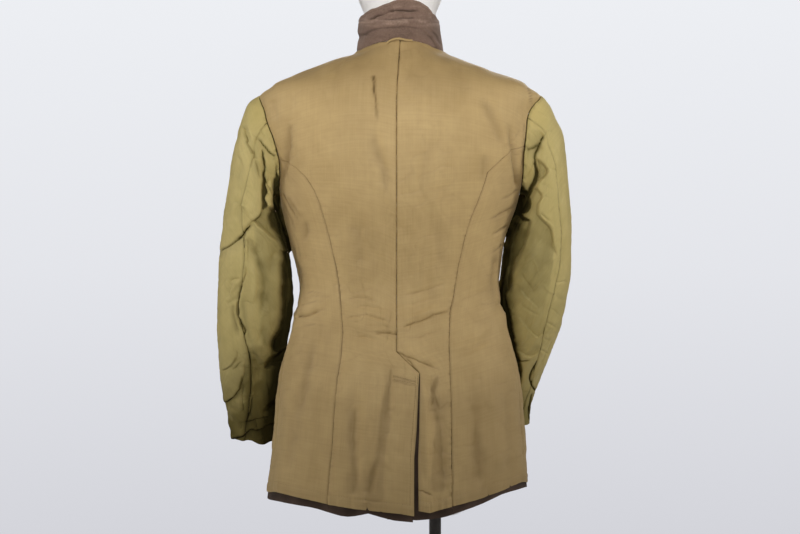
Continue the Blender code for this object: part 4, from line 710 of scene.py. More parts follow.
# Folds of the right sleeve, seen from behind
RIGHT_SLEEVE_FOLDS = (
    ("patch", 1.0, 0.50, ((527, 199), (534, 187.5), (541, 192), (542, 198), (538, 212), (545, 220.5), (552, 229), (554, 243),
                          (553, 262), (550, 285), (545, 305), (538, 330), (505, 330), (500, 270), (508, 226)), (250, 345)),
    ("patch", 1.2, 1.75, ((510, 200), (518, 189), (526, 189), (531, 199), (532.5, 206), (529.5, 212.5), (523, 213.5), (517, 214),
                          (510, 221), (502, 226), (505, 214))),
    ("patch", 0.8, 1.5, ((534.5, 157), (536.5, 158.5), (537, 165), (538.8, 172), (538, 180), (534, 187), (528.5, 199), (524, 199),
                         (526.5, 191), (531, 183), (533.8, 172), (533.3, 162))),
    ("patch", 3.5, 0.95, ((505, 222), (531, 219), (530, 232), (526, 245), (517, 264), (511, 290), (499, 292))),
    ("vee", 1.8, 1.3, ((533, 111), (541, 112), (550, 116)), (0.3, 0.2)),
    ("drop", 1.8, 5.0, ((535, 158), (537.5, 149), (541, 141), (545.5, 133)), (0.0, 0.12)),
    ("line", 1.40, 1.72, ((535, 157), (537.5, 149), (541, 141), (545, 134)), (0.0, 0.2)),
    ("line", 0.91, 0.95, ((540.5, 140.5), (535, 145), (528, 150)), (0.1, 0.0)),
    ("line", 0.98, 1.12, ((531.6, 394), (530, 405), (529, 418)), (0.1, 0.0)),
    ("line", 0.84, 0.86, ((513, 361), (522, 362), (532, 360)), (0.0, 0.3)),
    ("pinch", 1.8, 1.8, ((537, 156), (539.5, 149), (543, 141)), (0.1, 0.3)),
    ("drop", 1.6, 2.6, ((541, 140.5), (535, 145), (527.5, 150.5)), (0.1, 0.0)),
    ("vee", 1.8, 1.5, ((529, 130), (534, 133), (537, 138))),
    ("vee", 1.6, 1.4, ((546, 131.5), (550, 130), (554, 133)), (0.05, 0.3)),
    ("trough", 1.8, 1.6, ((539, 149), (543, 148))),
    ("vee", 1.6, 1.2, ((549, 166), (553, 169), (558, 170)), (0.1, 0.3)),
    ("vee", 1.8, 1.3, ((540, 184), (547, 186), (556, 192)), (0.1, 0.4)),
    ("vee", 1.6, 1.2, ((541, 191), (545, 196), (552, 199)), (0.1, 0.4)),
    ("hollow", 1.15, 34.0, ((535, 157), (536.5, 158.5), (537, 165), (539, 172), (538.5, 180), (534.5, 187), (528.5, 199),
                           (525, 199), (526.5, 192), (531, 183), (533.8, 172), (533.3, 162))),
    ("hollow", 1.3, 42.0, ((520, 180), (526, 188), (526.5, 198), (529, 200), (532.5, 206), (529.5, 212.5), (523, 213.5),
                           (532, 219.5), (524, 221.5), (516, 215), (508, 226), (503, 224), (510, 212), (511, 205), (517, 197))),
    ("hollow", 3.0, 17.0, ((515, 213), (532, 219), (531, 230), (527.5, 243), (520, 258), (513, 275), (510, 292), (499, 292),
                           (503, 262), (507, 226))),
    ("hollow", 1.15, 9.0, ((527, 199), (534, 187.5), (541, 192), (542, 198), (538, 212), (545, 220.5), (552, 229), (554, 243),
                          (554, 262), (500, 262), (504, 220), (520, 200)), (238, 262)),
    ("hollow", 1.15, 10.0, ((536.8, 157.5), (548.7, 170), (539, 182), (538.8, 172))),
    ("vee", 1.8, 2.0, ((537.5, 212.5), (545, 217), (553, 223)), (0.05, 0.4)),
    ("pinch", 2.0, 1.6, ((540, 216.5), (548, 222), (557, 230)), (0.1, 0.4)),
    ("ridge", 2.6, 1.6, ((528, 190), (524, 188), (525, 178)), (0.2, 0.2)),
    ("vee", 1.6, 1.8, ((526, 176), (531, 169), (532.5, 158)), (0.05, 0.2)),
    ("pinch", 1.5, 1.5, ((531, 257), (537, 269), (541, 281)), (0.3, 0.3)),
    ("pinch", 1.5, 1.8, ((543.5, 284), (549, 291), (555, 294)), (0.2, 0.1)),
    ("drop", 1.8, 1.6, ((518.5, 287), (524, 296.5), (531, 302.5), (539.5, 309.5)), (0.25, 0.1)),
    ("pinch", 1.4, 1.4, ((518.5, 287), (524, 296.5), (531, 302.5), (539.5, 309.5)), (0.25, 0.1)),
    ("drop", 1.8, 2.0, ((515.5, 315), (524, 325.5), (533, 334.5), (538, 338), (543, 334), (546.5, 325)), (0.25, 0.1)),
    ("pinch", 1.5, 1.6, ((515.5, 315), (524, 325.5), (533, 334.5), (538, 338), (543, 334), (546.5, 325)), (0.1, 0.1)),
    ("drop", 1.8, 1.8, ((512.5, 342), (520, 354), (530, 358), (538, 353.5), (541.5, 347)), (0.1, 0.1)),
    ("pinch", 1.4, 1.5, ((512.5, 342), (520, 354), (530, 358), (538, 353.5), (541.5, 347)), (0.1, 0.1)),
    ("vee", 1.8, 1.4, ((518, 300), (527, 309), (541, 316)), (0.3, 0.2)),
    ("vee", 1.8, 1.4, ((521, 270), (527, 283), (536, 292)), (0.3, 0.3)),
    ("vee", 1.7, 2.6, ((513, 361), (522, 362), (532, 360)), (0.0, 0.3)),
    ("hollow", 1.6, 30.0, ((499, 290), (504, 290), (508, 303), (512, 318), (514.5, 335), (517, 350), (521, 362), (522.5, 376),
                           (520, 385), (516, 366), (511, 350), (506, 325), (500, 305))),
    ("hollow", 1.15, 30.0, ((537, 360.5), (534.7, 369), (531.7, 378), (533, 384.5), (537, 390.5), (535, 391.5), (531, 386.5),
                           (528.7, 380), (529.7, 374), (533.5, 366))),
    ("vee", 1.8, 3.0, ((532.5, 393), (530, 405), (529, 418)), (0.1, 0.0)),
    ("vee", 1.8, 1.8, ((556, 283.5), (562, 282), (568, 281)), (0.05, 0.2)),
    ("trough", 2.2, 1.6, ((555, 294), (561, 299), (567, 299))),
    ("vee", 1.8, 1.3, ((548, 308), (556, 312), (564, 318)), (0.1, 0.4)),
    ("vee", 1.8, 1.3, ((546, 323), (554, 327), (560, 329)), (0.1, 0.4)),
    ("vee", 1.8, 1.3, ((543.5, 338), (550, 341), (556, 342)), (0.1, 0.4)),
    ("vee", 1.8, 1.3, ((541, 350), (546, 353), (551, 354)), (0.1, 0.4)),
    ("trough", 2.2, 1.4, ((564, 178), (562, 190), (563, 204))),
    ("trough", 2.4, 1.4, ((566, 236), (563, 252), (565, 268))),
)

# The unseen fronts of the sleeves, seen from the front (the left sleeve is on the right there)
SLEEVE_FRONT_FOLDS = {
    -1: (("trough", 3.0, 4.4, ((520, 150), (532, 170), (552, 182))), ("ridge", 3.4, 3.0, ((526, 140), (540, 158), (558, 168))),
         ("trough", 2.8, 4.0, ((512, 196), (534, 206), (566, 204))), ("ridge", 3.2, 2.6, ((516, 212), (540, 222), (568, 220))),
         ("drop", 3.0, 4.4, ((578, 262), (556, 256), (534, 240), (522, 222)), (0.1, 0.1)),
         ("trough", 3.2, 4.2, ((560, 240), (548, 270), (540, 310)), (0.2, 0.4)),
         ("ridge", 3.4, 3.0, ((548, 244), (536, 276), (530, 312)), (0.2, 0.4)),
         ("trough", 2.6, 3.0, ((516, 300), (536, 310), (560, 306))), ("step", 2.4, 2.4, ((514, 352), (534, 346), (556, 330))),
         ("trough", 2.6, 3.0, ((520, 380), (536, 384), (556, 372))), ("trough", 2.4, 2.4, ((528, 400), (530, 420), (526, 436)))),
    1: (("trough", 3.0, 4.4, ((282, 148), (268, 170), (250, 180))), ("ridge", 3.4, 3.0, ((276, 140), (262, 158), (246, 166))),
        ("trough", 2.8, 4.0, ((290, 194), (268, 206), (236, 206))), ("ridge", 3.2, 2.6, ((286, 212), (262, 222), (234, 222))),
        ("trough", 2.8, 3.4, ((294, 236), (272, 250), (240, 256))), ("ridge", 3.0, 2.6, ((294, 254), (272, 266), (242, 272))),
        ("trough", 2.6, 3.4, ((296, 272), (276, 284), (246, 290))), ("drop", 2.8, 3.6, ((246, 318), (266, 312), (288, 300)), (0.1, 0.1)),
        ("trough", 2.6, 3.0, ((292, 330), (276, 338), (256, 340))), ("trough", 2.6, 3.0, ((294, 356), (280, 364), (264, 366))),
        ("crack", 1.4, 2.4, ((300, 392), (284, 396), (270, 392)))),
}


# ---------------------------------------------------------------- meshes
def gradient_normals(p, like):
    du, dv = np.gradient(p, axis=1), np.gradient(p, axis=0)
    n = np.cross(du, dv)
    n /= np.linalg.norm(n, axis=-1, keepdims=True) + 1e-12
    return n * (-1.0 if float(np.mean(np.sum(n * like, -1))) < 0 else 1.0)


def edge_distance(p):
    """Distance along the cloth to the left, right, low and high edge, and lengths along both ways."""
    du = np.concatenate((np.zeros((p.shape[0], 1)), np.cumsum(np.linalg.norm(np.diff(p, axis=1), axis=2), 1)), 1)
    dv = np.concatenate((np.zeros((1, p.shape[1])), np.cumsum(np.linalg.norm(np.diff(p, axis=0), axis=2), 0)), 0)
    return du, du[:, -1:] - du, dv, dv[-1:, :] - dv


def cloth(name, p, wall, like, materials, tone=None, uv=None, rims=(0.0, 0.0, 0.0, 0.0)):
    """Closed thin sheet: a grid of middle points, offset half a wall each way, with its rim."""
    rows, cols = p.shape[:2]
    n = gradient_normals(p, like)
    outer, inner = p + n * wall / 2, p - n * wall / 2
    count = rows * cols
    idx = np.arange(count).reshape(rows, cols)
    quads = np.stack((idx[:-1, :-1], idx[:-1, 1:], idx[1:, 1:], idx[1:, :-1]), -1).reshape(-1, 4)
    du, dv = p[0, 1] - p[0, 0], p[1, 0] - p[0, 0]
    flip = float(np.mean(np.sum(np.cross(np.gradient(p, axis=1), np.gradient(p, axis=0)) * like, -1))) < 0
    if flip:
        quads = quads[:, ::-1]
    rim = np.concatenate((idx[0, :], idx[1:, -1], idx[-1, -2::-1], idx[-2:0:-1, 0]))
    nxt = np.roll(rim, -1)
    sides = np.stack((nxt, rim, rim + count, nxt + count), -1)
    if flip:
        sides = sides[:, ::-1]
    faces = np.concatenate((quads, quads[:, ::-1] + count, sides))
    verts = np.concatenate((outer.reshape(-1, 3), inner.reshape(-1, 3)))
    mesh = bpy.data.meshes.new(name)
    mesh.vertices.add(len(verts))
    mesh.vertices.foreach_set("co", verts.astype(np.float32).ravel())
    mesh.loops.add(faces.size)
    mesh.loops.foreach_set("vertex_index", faces.ravel().astype(np.int32))
    mesh.polygons.add(len(faces))
    mesh.polygons.foreach_set("loop_start", np.arange(0, faces.size, 4, dtype=np.int32))
    for m in materials:
        mesh.materials.append(m)
    kinds = np.zeros(len(faces), np.int32)
    if len(materials) > 1:
        kinds[len(quads):2 * len(quads)] = 1
    mesh.polygons.foreach_set("material_index", kinds)
    mesh.update(calc_edges=True)
    mesh.validate()
    if uv is None:
        du, _, dv, _ = edge_distance(p)
        uv = np.stack((du, dv), -1)
    layer = mesh.uv_layers.new(name="cloth")
    flat = np.concatenate((uv.reshape(-1, 2), uv.reshape(-1, 2)))
    layer.data.foreach_set("uv", flat[faces.ravel()].astype(np.float32).ravel())
    value = np.zeros(count) if tone is None else np.asarray(tone, float).ravel()
    attribute = mesh.attributes.new("tone", "FLOAT", "POINT")
    attribute.data.foreach_set("value", np.concatenate((value, value)).astype(np.float32))
    mesh.shade_smooth()
    mesh.set_sharp_from_angle(angle=math.radians(44))
    obj = bpy.data.objects.new(name, mesh)
    bpy.context.scene.collection.objects.link(obj)
    return obj


def cut_size(p):
    """Width and length of the smallest rectangle a grid of points fits in when it is laid flat, and its area."""
    d1, d2 = p[1:, 1:] - p[:-1, :-1], p[1:, :-1] - p[:-1, 1:]
    area = 0.5 * np.linalg.norm(np.cross(d1, d2), axis=-1).sum()
    rows, columns = (np.unique(np.linspace(0, n - 1, k).astype(int)) for n, k in zip(p.shape, (30, 14)))
    q = p[rows][:, columns]
    high, wide = q.shape[:2]
    number = np.arange(high * wide).reshape(high, wide)
    way = np.full((high * wide, high * wide), 9.0)          # shortest ways over the cloth
    for i, j in ((0, 1), (1, 0), (1, 1), (1, -1), (1, 2), (1, -2), (2, 1), (2, -1)):
        a = (slice(0, high - i), slice(max(0, -j), wide - max(0, j)))
        b = (slice(i, high), slice(max(0, j), wide - max(0, -j)))
        gap = np.linalg.norm(q[a] - q[b], axis=-1).ravel()
        way[number[a].ravel(), number[b].ravel()] = gap
        way[number[b].ravel(), number[a].ravel()] = gap
    np.fill_diagonal(way, 0.0)
    for k in range(high * wide):
        np.minimum(way, way[:, k:k + 1] + way[k:k + 1], out=way)
    square = way ** 2
    square = -0.5 * (square - square.mean(0) - square.mean(1)[:, None] + square.mean())
    value, vector = np.linalg.eigh(square)
    flat = vector[:, -2:] * np.sqrt(value[-2:])
    sides = []
    for turn in np.radians(np.arange(0, 90, 1.0)):
        x, y = flat[:, 0] * np.cos(turn) + flat[:, 1] * np.sin(turn), flat[:, 1] * np.cos(turn) - flat[:, 0] * np.sin(turn)
        sides.append((np.ptp(x), np.ptp(y)))
    small, large = sorted(min(sides, key=lambda r: r[0] * r[1]))
    upright = (np.linalg.norm(np.diff(q, axis=0), axis=-1).sum(0).mean()
               > np.linalg.norm(np.diff(q, axis=1), axis=-1).sum(1).mean())
    return float(small if upright else large), float(large if upright else small), float(area)


SHEETS = []


def dress(obj, node, base, strap=False):
    """Records what a cloth piece stands for and the cut it was made from. A strap is too narrow to be a sheet."""
    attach(obj, "root")
    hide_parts(node)
    if strap:
        return
    width, length, area = cut_size(base)
    area = min(area, width * length)
    SHEETS.append((node, round(width * 1000), round(length * 1000), round(area * 1e4)))


def joined(name, parts, material):
    """One mesh from many (points, faces) parts."""
    verts, faces, base = [], [], 0
    for p, f in parts:
        verts.append(p)
        faces += [[i + base for i in face] for face in f]
        base += len(p)
    mesh = bpy.data.meshes.new(name)
    mesh.from_pydata(np.concatenate(verts).tolist(), [], faces)
    mesh.materials.append(material)
    mesh.shade_smooth()
    obj = bpy.data.objects.new(name, mesh)
    bpy.context.scene.collection.objects.link(obj)
    return obj


def stitch(a, b, n, radius=0.00028, proud=0.00035):
    """One thread stitch from a to b that rises a little in the middle."""
    along = (b - a) / (np.linalg.norm(b - a) + 1e-9)
    across = np.cross(along, n)
    across /= np.linalg.norm(across) + 1e-9
    rings, faces = [], []
    for u, r in ((0.0, 0.35), (0.15, 0.85), (0.5, 1.0), (0.85, 0.85), (1.0, 0.35)):
        c = a + (b - a) * u + n * (proud * math.sin(math.pi * u) - 0.0001)
        rings.append([c + (across * math.cos(q) + n * math.sin(q)) * radius * r for q in np.arange(5) * 2 * math.pi / 5])
    for k in range(4):
        for j in range(5):
            m = (j + 1) % 5
            faces.append([k * 5 + j, k * 5 + m, k * 5 + 5 + m, k * 5 + 5 + j])
    faces.append([4, 3, 2, 1, 0])
    faces.append([20, 21, 22, 23, 24])
    return np.array(rings).reshape(-1, 3), faces


def stitch_row(points, normals, length, gap, wander=0.0003, seed=5, slant=0.0):
    """Stitches along a line of points on the cloth's outer face."""
    points, normals = np.asarray(points), np.asarray(normals)
    seg = np.linalg.norm(np.diff(points, axis=0), axis=1)
    cum = np.concatenate(([0], np.cumsum(seg)))
    out, s, k = [], gap, 0
    while s + length < cum[-1]:
        r = noise(k * 1.7, 3.1, seed)
        ends = []
        for q in (s, s + length * (1 + 0.15 * r)):
            ends.append(np.array([np.interp(q, cum, points[:, c]) for c in range(3)]))
        n = np.array([np.interp(s, cum, normals[:, c]) for c in range(3)])
        n /= np.linalg.norm(n) + 1e-9
        side = np.cross(n, ends[1] - ends[0])
        side /= np.linalg.norm(side) + 1e-9
        off = wander * noise(k * 2.3, 8.4, seed + 1)
        out.append(stitch(ends[0] + side * (off - slant), ends[1] + side * (off + slant), n))
        s += length + gap * (1 + 0.25 * noise(k * 1.3, 1.9, seed + 2))
        k += 1
    return out


# ---------------------------------------------------------------- materials
class Nodes:
    """Short way to write a material's nodes."""

    def __init__(self, name):
        self.material = bpy.data.materials.new(name)
        self.material.use_nodes = True
        self.tree = self.material.node_tree
        self.bsdf = self.tree.nodes["Principled BSDF"]

    def add(self, kind, links=None, **values):
        node = self.tree.nodes.new(kind)
        for key, value in values.items():
            setattr(node, key, value)
        for socket, source in (links or {}).items():
            target = node.inputs[socket]
            if isinstance(source, bpy.types.NodeSocket):
                self.tree.links.new(source, target)
            else:
                target.default_value = source
        return node

    def math(self, operation, a, b=0.0, clamp=False):
        return self.add("ShaderNodeMath", {0: a, 1: b}, operation=operation, use_clamp=clamp).outputs[0]

    def texture(self, coordinates, scale, size=1.0, detail=3.0, rough=0.55, offset=(0, 0, 0)):
        mapping = self.add("ShaderNodeMapping", {"Vector": coordinates, "Scale": scale, "Location": offset})
        return self.add("ShaderNodeTexNoise", {"Vector": mapping.outputs[0], "Scale": size, "Detail": detail,
                                               "Roughness": rough}).outputs["Fac"]

    def wave(self, coordinates, direction, pitch, distortion=0.6):
        return self.add("ShaderNodeTexWave", {"Vector": coordinates, "Scale": 0.31416 / pitch, "Distortion": distortion,
                                              "Detail": 1.0, "Detail Scale": 0.4},
                        wave_type="BANDS", bands_direction=direction).outputs["Fac"]

    def remap(self, value, a, b, c, d):
        return self.add("ShaderNodeMapRange", {0: value, 1: a, 2: b, 3: c, 4: d}).outputs[0]

    def mix(self, fac, a, b, blend="MIX"):
        node = self.add("ShaderNodeMix", data_type="RGBA", blend_type=blend)
        for socket, source in ((node.inputs["Factor"], fac), (node.inputs["A"], a), (node.inputs["B"], b)):
            pass
        colour = [s for s in node.inputs if s.type == "RGBA"]
        for socket, source in ((node.inputs[0], fac), (colour[0], a), (colour[1], b)):
            if isinstance(source, bpy.types.NodeSocket):
                self.tree.links.new(source, socket)
            else:
                socket.default_value = source
        return [s for s in node.outputs if s.type == "RGBA"][0]

    def link(self, source, socket):
        self.tree.links.new(source, self.bsdf.inputs[socket])


def cloth_material(name, light, dark, soil_and_shade, pitch=0.00055, rough=0.62, sheen=0.18, bump=0.10, streak=0.5):
    """Woven cotton sateen: fine threads, long slubs, blotches, soil and painted shade where the tone attribute is above
    nought, near black above one.
    """
    m = Nodes(name)
    uv = m.add("ShaderNodeUVMap", uv_map="cloth").outputs[0]
    obj = m.add("ShaderNodeTexCoord").outputs["Object"]
    slub = m.texture(uv, (850.0, 14.0, 1.0), 1.0, 4.0, 0.6)
    long_streak = m.texture(uv, (120.0, 2.2, 1.0), 1.0, 3.0, 0.55, (3.1, 1.7, 0))
    cross = m.texture(uv, (11.0, 330.0, 1.0), 1.0, 3.0, 0.55, (8.1, 4.7, 0))
    blotch = m.texture(obj, (1, 1, 1), 7.0, 4.0, 0.55)
    cloud = m.texture(obj, (1, 1, 1), 28.0, 4.0, 0.6)
    tone = m.add("ShaderNodeAttribute", attribute_name="tone", attribute_type="GEOMETRY").outputs["Fac"]
    value = m.math("ADD", m.math("MULTIPLY", blotch, 0.55), m.math("MULTIPLY", cloud, 0.30))
    value = m.math("ADD", value, m.math("MULTIPLY", long_streak, streak))
    value = m.math("ADD", value, m.math("MULTIPLY", slub, 0.30))
    value = m.math("ADD", value, m.math("MULTIPLY", cross, 0.26))
    mid = (0.55 + 0.30 + streak + 0.30 + 0.26) / 2
    fac = m.remap(value, mid - 0.22, mid + 0.22, 0.0, 1.0)
    colour = m.mix(fac, (*dark, 1), (*light, 1))
    # The tone mixes in real soil and stains, and painted shade in folds, hollows and parts turned from the light.
    stain_and_shade = m.math("MULTIPLY", tone, m.remap(cloud, 0.3, 0.7, 0.7, 1.15), clamp=True)
    colour = m.mix(stain_and_shade, colour, (*soil_and_shade, 1))
    # Above one the tone goes near black: painted shade in deep voids, and dark seam lines.
    colour = m.mix(m.math("SUBTRACT", tone, 1.0, clamp=True), colour, (*[0.16 * c for c in soil_and_shade], 1))
    m.link(colour, "Base Color")
    warp, weft = m.wave(uv, "X", pitch), m.wave(uv, "Y", pitch * 1.25)
    weave = m.math("MULTIPLY", warp, m.remap(weft, 0.0, 1.0, 0.55, 1.0))
    height = m.math("ADD", m.math("MULTIPLY", weave, 0.5), m.math("MULTIPLY", slub, 0.9))
    height = m.math("ADD", height, m.math("MULTIPLY", cross, 0.35))
    b = m.add("ShaderNodeBump", {"Height": height, "Strength": bump, "Distance": 0.0010})
    m.link(b.outputs[0], "Normal")
    m.link(m.remap(value, mid - 0.3, mid + 0.3, rough + 0.08, rough - 0.06), "Roughness")
    m.link(m.remap(tone, 0.35, 1.10, sheen, 0.0), "Sheen Weight")
    m.bsdf.inputs["Sheen Roughness"].default_value = 0.45
    m.bsdf.inputs["Sheen Tint"].default_value = (*[min(1.0, 1.25 * c + 0.25) for c in light], 1)
    m.link(m.remap(tone, 0.35, 1.10, 0.32, 0.0), "Specular IOR Level")
    return m.material


def wool_material(name, light, dark, worn):
    """Napped wool: felted fibres, flecks, worn where the tone attribute is above nought, darkened by painted shade
    where it is below.
    """
    m = Nodes(name)
    uv = m.add("ShaderNodeUVMap", uv_map="cloth").outputs[0]
    obj = m.add("ShaderNodeTexCoord").outputs["Object"]
    felt = m.texture(obj, (1, 1, 1), 900.0, 4.0, 0.65)
    fleck = m.texture(obj, (1, 1, 1), 330.0, 3.0, 0.6)
    blotch = m.texture(obj, (1, 1, 1), 24.0, 4.0, 0.6)
    twill = m.wave(m.add("ShaderNodeMapping", {"Vector": uv, "Rotation": (0, 0, 0.8)}).outputs[0], "X", 0.0012, 2.0)
    tone = m.add("ShaderNodeAttribute", attribute_name="tone", attribute_type="GEOMETRY").outputs["Fac"]
    value = m.math("ADD", m.math("MULTIPLY", felt, 0.5), m.math("MULTIPLY", fleck, 0.5))
    value = m.math("ADD", value, m.math("MULTIPLY", blotch, 0.6))
    fac = m.remap(value, 0.62, 0.98, 0.0, 1.0)
    colour = m.mix(fac, (*dark, 1), (*light, 1))
    wear = m.math("MULTIPLY", m.math("MAXIMUM", tone, 0.0), m.remap(fleck, 0.3, 0.7, 0.5, 1.2), clamp=True)
    colour = m.mix(wear, colour, (*worn, 1))
    # Below nought the tone is painted shade: the wool darkens towards a near-black brown.
    colour = m.mix(m.math("MULTIPLY", tone, -1.0, clamp=True), colour, (*[0.30 * c for c in dark], 1))
    m.link(colour, "Base Color")
    height = m.math("ADD", m.math("MULTIPLY", felt, 0.8), m.math("MULTIPLY", twill, 0.25))
    b = m.add("ShaderNodeBump", {"Height": height, "Strength": 0.35, "Distance": 0.0012})
    m.link(b.outputs[0], "Normal")
    m.bsdf.inputs["Roughness"].default_value = 0.95
    m.link(m.remap(tone, -1.0, 0.0, 0.05, 0.22), "Sheen Weight")
    m.bsdf.inputs["Sheen Roughness"].default_value = 0.6
    m.bsdf.inputs["Sheen Tint"].default_value = (0.75, 0.62, 0.55, 1)
    m.bsdf.inputs["Specular IOR Level"].default_value = 0.2
    return m.material


def hard_material(name, light, dark, rough, metal, scale, bump, spec=0.5):
    m = Nodes(name)
    obj = m.add("ShaderNodeTexCoord").outputs["Object"]
    blotch = m.texture(obj, (1, 1, 1), scale, 4.0, 0.55)
    fine = m.texture(obj, (1, 1, 1), scale * 14, 4.0, 0.6)
    value = m.math("ADD", m.math("MULTIPLY", blotch, 0.7), m.math("MULTIPLY", fine, 0.3))
    m.link(m.mix(m.remap(value, 0.35, 0.65, 0.0, 1.0), (*dark, 1), (*light, 1)), "Base Color")
    m.link(m.remap(value, 0.3, 0.7, rough - 0.06, rough + 0.08), "Roughness")
    b = m.add("ShaderNodeBump", {"Height": fine, "Strength": bump, "Distance": 0.0008})
    m.link(b.outputs[0], "Normal")
    m.bsdf.inputs["Metallic"].default_value = metal
    m.bsdf.inputs["Specular IOR Level"].default_value = spec
    return m.material


# The third colour of each sateen is the colour of its soil and painted shade.
TAN = cloth_material("lining_tan_sateen", (0.570, 0.405, 0.182), (0.425, 0.293, 0.122), (0.255, 0.170, 0.074), streak=0.13,
                     bump=0.16)
OLIVE = cloth_material("lining_olive_sateen", (0.600, 0.485, 0.195), (0.460, 0.368, 0.134), (0.165, 0.132, 0.044),
                       sheen=0.10, streak=0.20, bump=0.14)
WOOL = wool_material("wool_taupe_nap", (0.215, 0.140, 0.104), (0.130, 0.083, 0.060), (0.340, 0.240, 0.182))
FORM = hard_material("form_matt_white", (0.88, 0.86, 0.845), (0.84, 0.82, 0.805), 0.62, 0.0, 9.0, 0.05)
STEEL = hard_material("stand_dark_steel", (0.105, 0.094, 0.086), (0.070, 0.062, 0.056), 0.42, 0.35, 30.0, 0.08)
BRASS = hard_material("button_aged_brass", (0.46, 0.31, 0.11), (0.26, 0.16, 0.05), 0.40, 1.0, 120.0, 0.15)
THREAD = hard_material("thread_tan", (0.36, 0.255, 0.125), (0.27, 0.185, 0.085), 0.8, 0.0, 900.0, 0.2, 0.2)
THREAD_DARK = hard_material("thread_dark_olive", (0.17, 0.135, 0.055), (0.11, 0.085, 0.035), 0.8, 0.0, 900.0, 0.2, 0.2)


# ---------------------------------------------------------------- body lining and shell
ARM_LINES = {s: body(s * armhole(np.arange(0, 360, 4.0), s)[0], armhole(np.arange(0, 360, 4.0), s)[1]) for s in (-1, 1)}


def arm_distance(p, side):
    q = p.reshape(-1, 3)
    out = np.full(len(q), 9.0)
    for a in ARM_LINES[side]:
        out = np.minimum(out, np.sum((q - a) ** 2, 1))
    return np.sqrt(out).reshape(p.shape[:-1])


def creases(x, y, seed, width=0.11):
    """Fine wrinkles: narrow valleys along the level lines of a noise."""
    v = noise(x, y, seed)
    return -np.exp(-(v / width) ** 2) * smooth(-0.15, 0.45, noise(x * 0.41 + 5.2, y * 0.37, seed + 3))


def sewn_on(p):
    """Where pockets, flaps and buttons sit on the shell and keep the cloth flat, from 0 to 1."""
    x, y, z = np.abs(p[..., 0]), p[..., 1], p[..., 2]
    chest = smooth(0.038, 0.050, x) * smooth(0.180, 0.166, x) * smooth(1.100, 1.114, z) * smooth(1.292, 1.278, z)
    skirt = smooth(0.042, 0.054, x) * smooth(0.206, 0.193, x) * smooth(0.818, 0.832, z) * smooth(1.028, 1.014, z)
    front = smooth(0.036, 0.020, np.abs(p[..., 0] - 0.004)) * smooth(1.012, 1.028, z) * smooth(1.400, 1.376, z)
    return np.maximum(np.maximum(chest, skirt), front) * smooth(0.020, 0.050, y)


def body_relief(p, n, th, soft=False):
    """How far the folds lift the body's cloth, slide it and push it in, at points of its surface."""
    px, py = picture(p)
    back = smooth(0.05, 0.35, -n[..., 1])
    lift, slide, push, dark = folds(px, py, BACK_FOLDS, 3)
    lift, slide, push, dark = lift * back, slide * back[..., None], push * back, dark * back
    fx, fy = front_picture(p)
    fore = 1.6 * folds(fx, fy, FRONT_FOLDS, 5)[0]
    fore = np.where(fore < 0, 0.0052 * np.tanh(fore / 0.0052), fore)
    lift = lift + fore * smooth(0.05, 0.35, n[..., 1])
    for side in (-1, 1):
        sx, sy = side_picture(p, side)
        lift = lift + folds(sx, sy, SIDE_FOLDS, 7)[0] * smooth(0.55, 0.9, side * n[..., 0])
    arc, z = th * 0.175, p[..., 2]
    skirt = 1 - smooth(0.90, 1.06, z)
    waist = np.exp(-((z - 1.085) / 0.060) ** 2)
    # drawn keeps the folds' depth, from which shade is painted into their hollows.
    drawn = lift
    lift = lift + fbm(arc / 0.075, z / 0.11, 11, 3) * 0.0010
    lift = lift + noise(arc / 0.034, z / 0.30, 21) * 0.0018 * skirt
    lift = lift + noise(arc / 0.055, z / 0.0125, 31) * 0.0006 * waist
    lift = lift + noise(arc / 0.090, z / 0.026, 37) * 0.0008 * waist
    if not soft:
        lift = lift + fbm(arc / 0.016, z / 0.022, 41, 3) * 0.00030
        lift = lift + crumple(arc / 0.060, z / 0.080, 44) * 0.00110 * (0.7 + 0.5 * waist)
        lift = lift + crumple(arc / 0.026, z / 0.034, 46) * 0.00045
        fine = creases(arc / 0.060, z / 0.0170, 43, 0.08) * 0.00075 * (0.40 + 0.9 * waist)
        fine = fine + creases(arc / 0.034 + z / 0.09, z / 0.026 - arc / 0.12, 47, 0.08) * 0.00055
        fine = fine + creases(arc / 0.020, z / 0.075, 53, 0.08) * 0.00050 * (0.4 + skirt)
        fine = fine + creases(arc / 0.015 + z / 0.03, z / 0.018, 57, 0.08) * 0.00040
        lift = lift + fine
        drawn = drawn + 3.2 * fine
    for side in (-1, 1):
        lift = lift * smooth(0.0, 0.010, arm_distance(p, side))
    lift = lift * (1 - 0.88 * sewn_on(p))
    return lift, slide, push, drawn, dark


def even_rows(t_low, t_high, gap, th=0.7):
    """Rows about one gap apart along the cloth."""
    t = np.linspace(t_low, t_high, 4000)
    p = body(np.full_like(t, th), t)
    s = np.concatenate(([0], np.cumsum(np.linalg.norm(np.diff(p, axis=0), axis=1))))
    return np.interp(np.linspace(0, s[-1], max(8, int(s[-1] / gap))), s, t)


def even_columns(width, gap, fine=True):
    """Shares across a piece, closer together at its two edges."""
    inner = np.linspace(0, 1, max(5, int(width / gap)))
    if not fine:
        return inner
    near = np.array([0.0005, 0.0012, 0.0022, 0.0036]) / width
    return np.unique(np.concatenate((inner[(inner > 0.006 / width) & (inner < 1 - 0.006 / width)], [0.0, 1.0], near, 1 - near)))


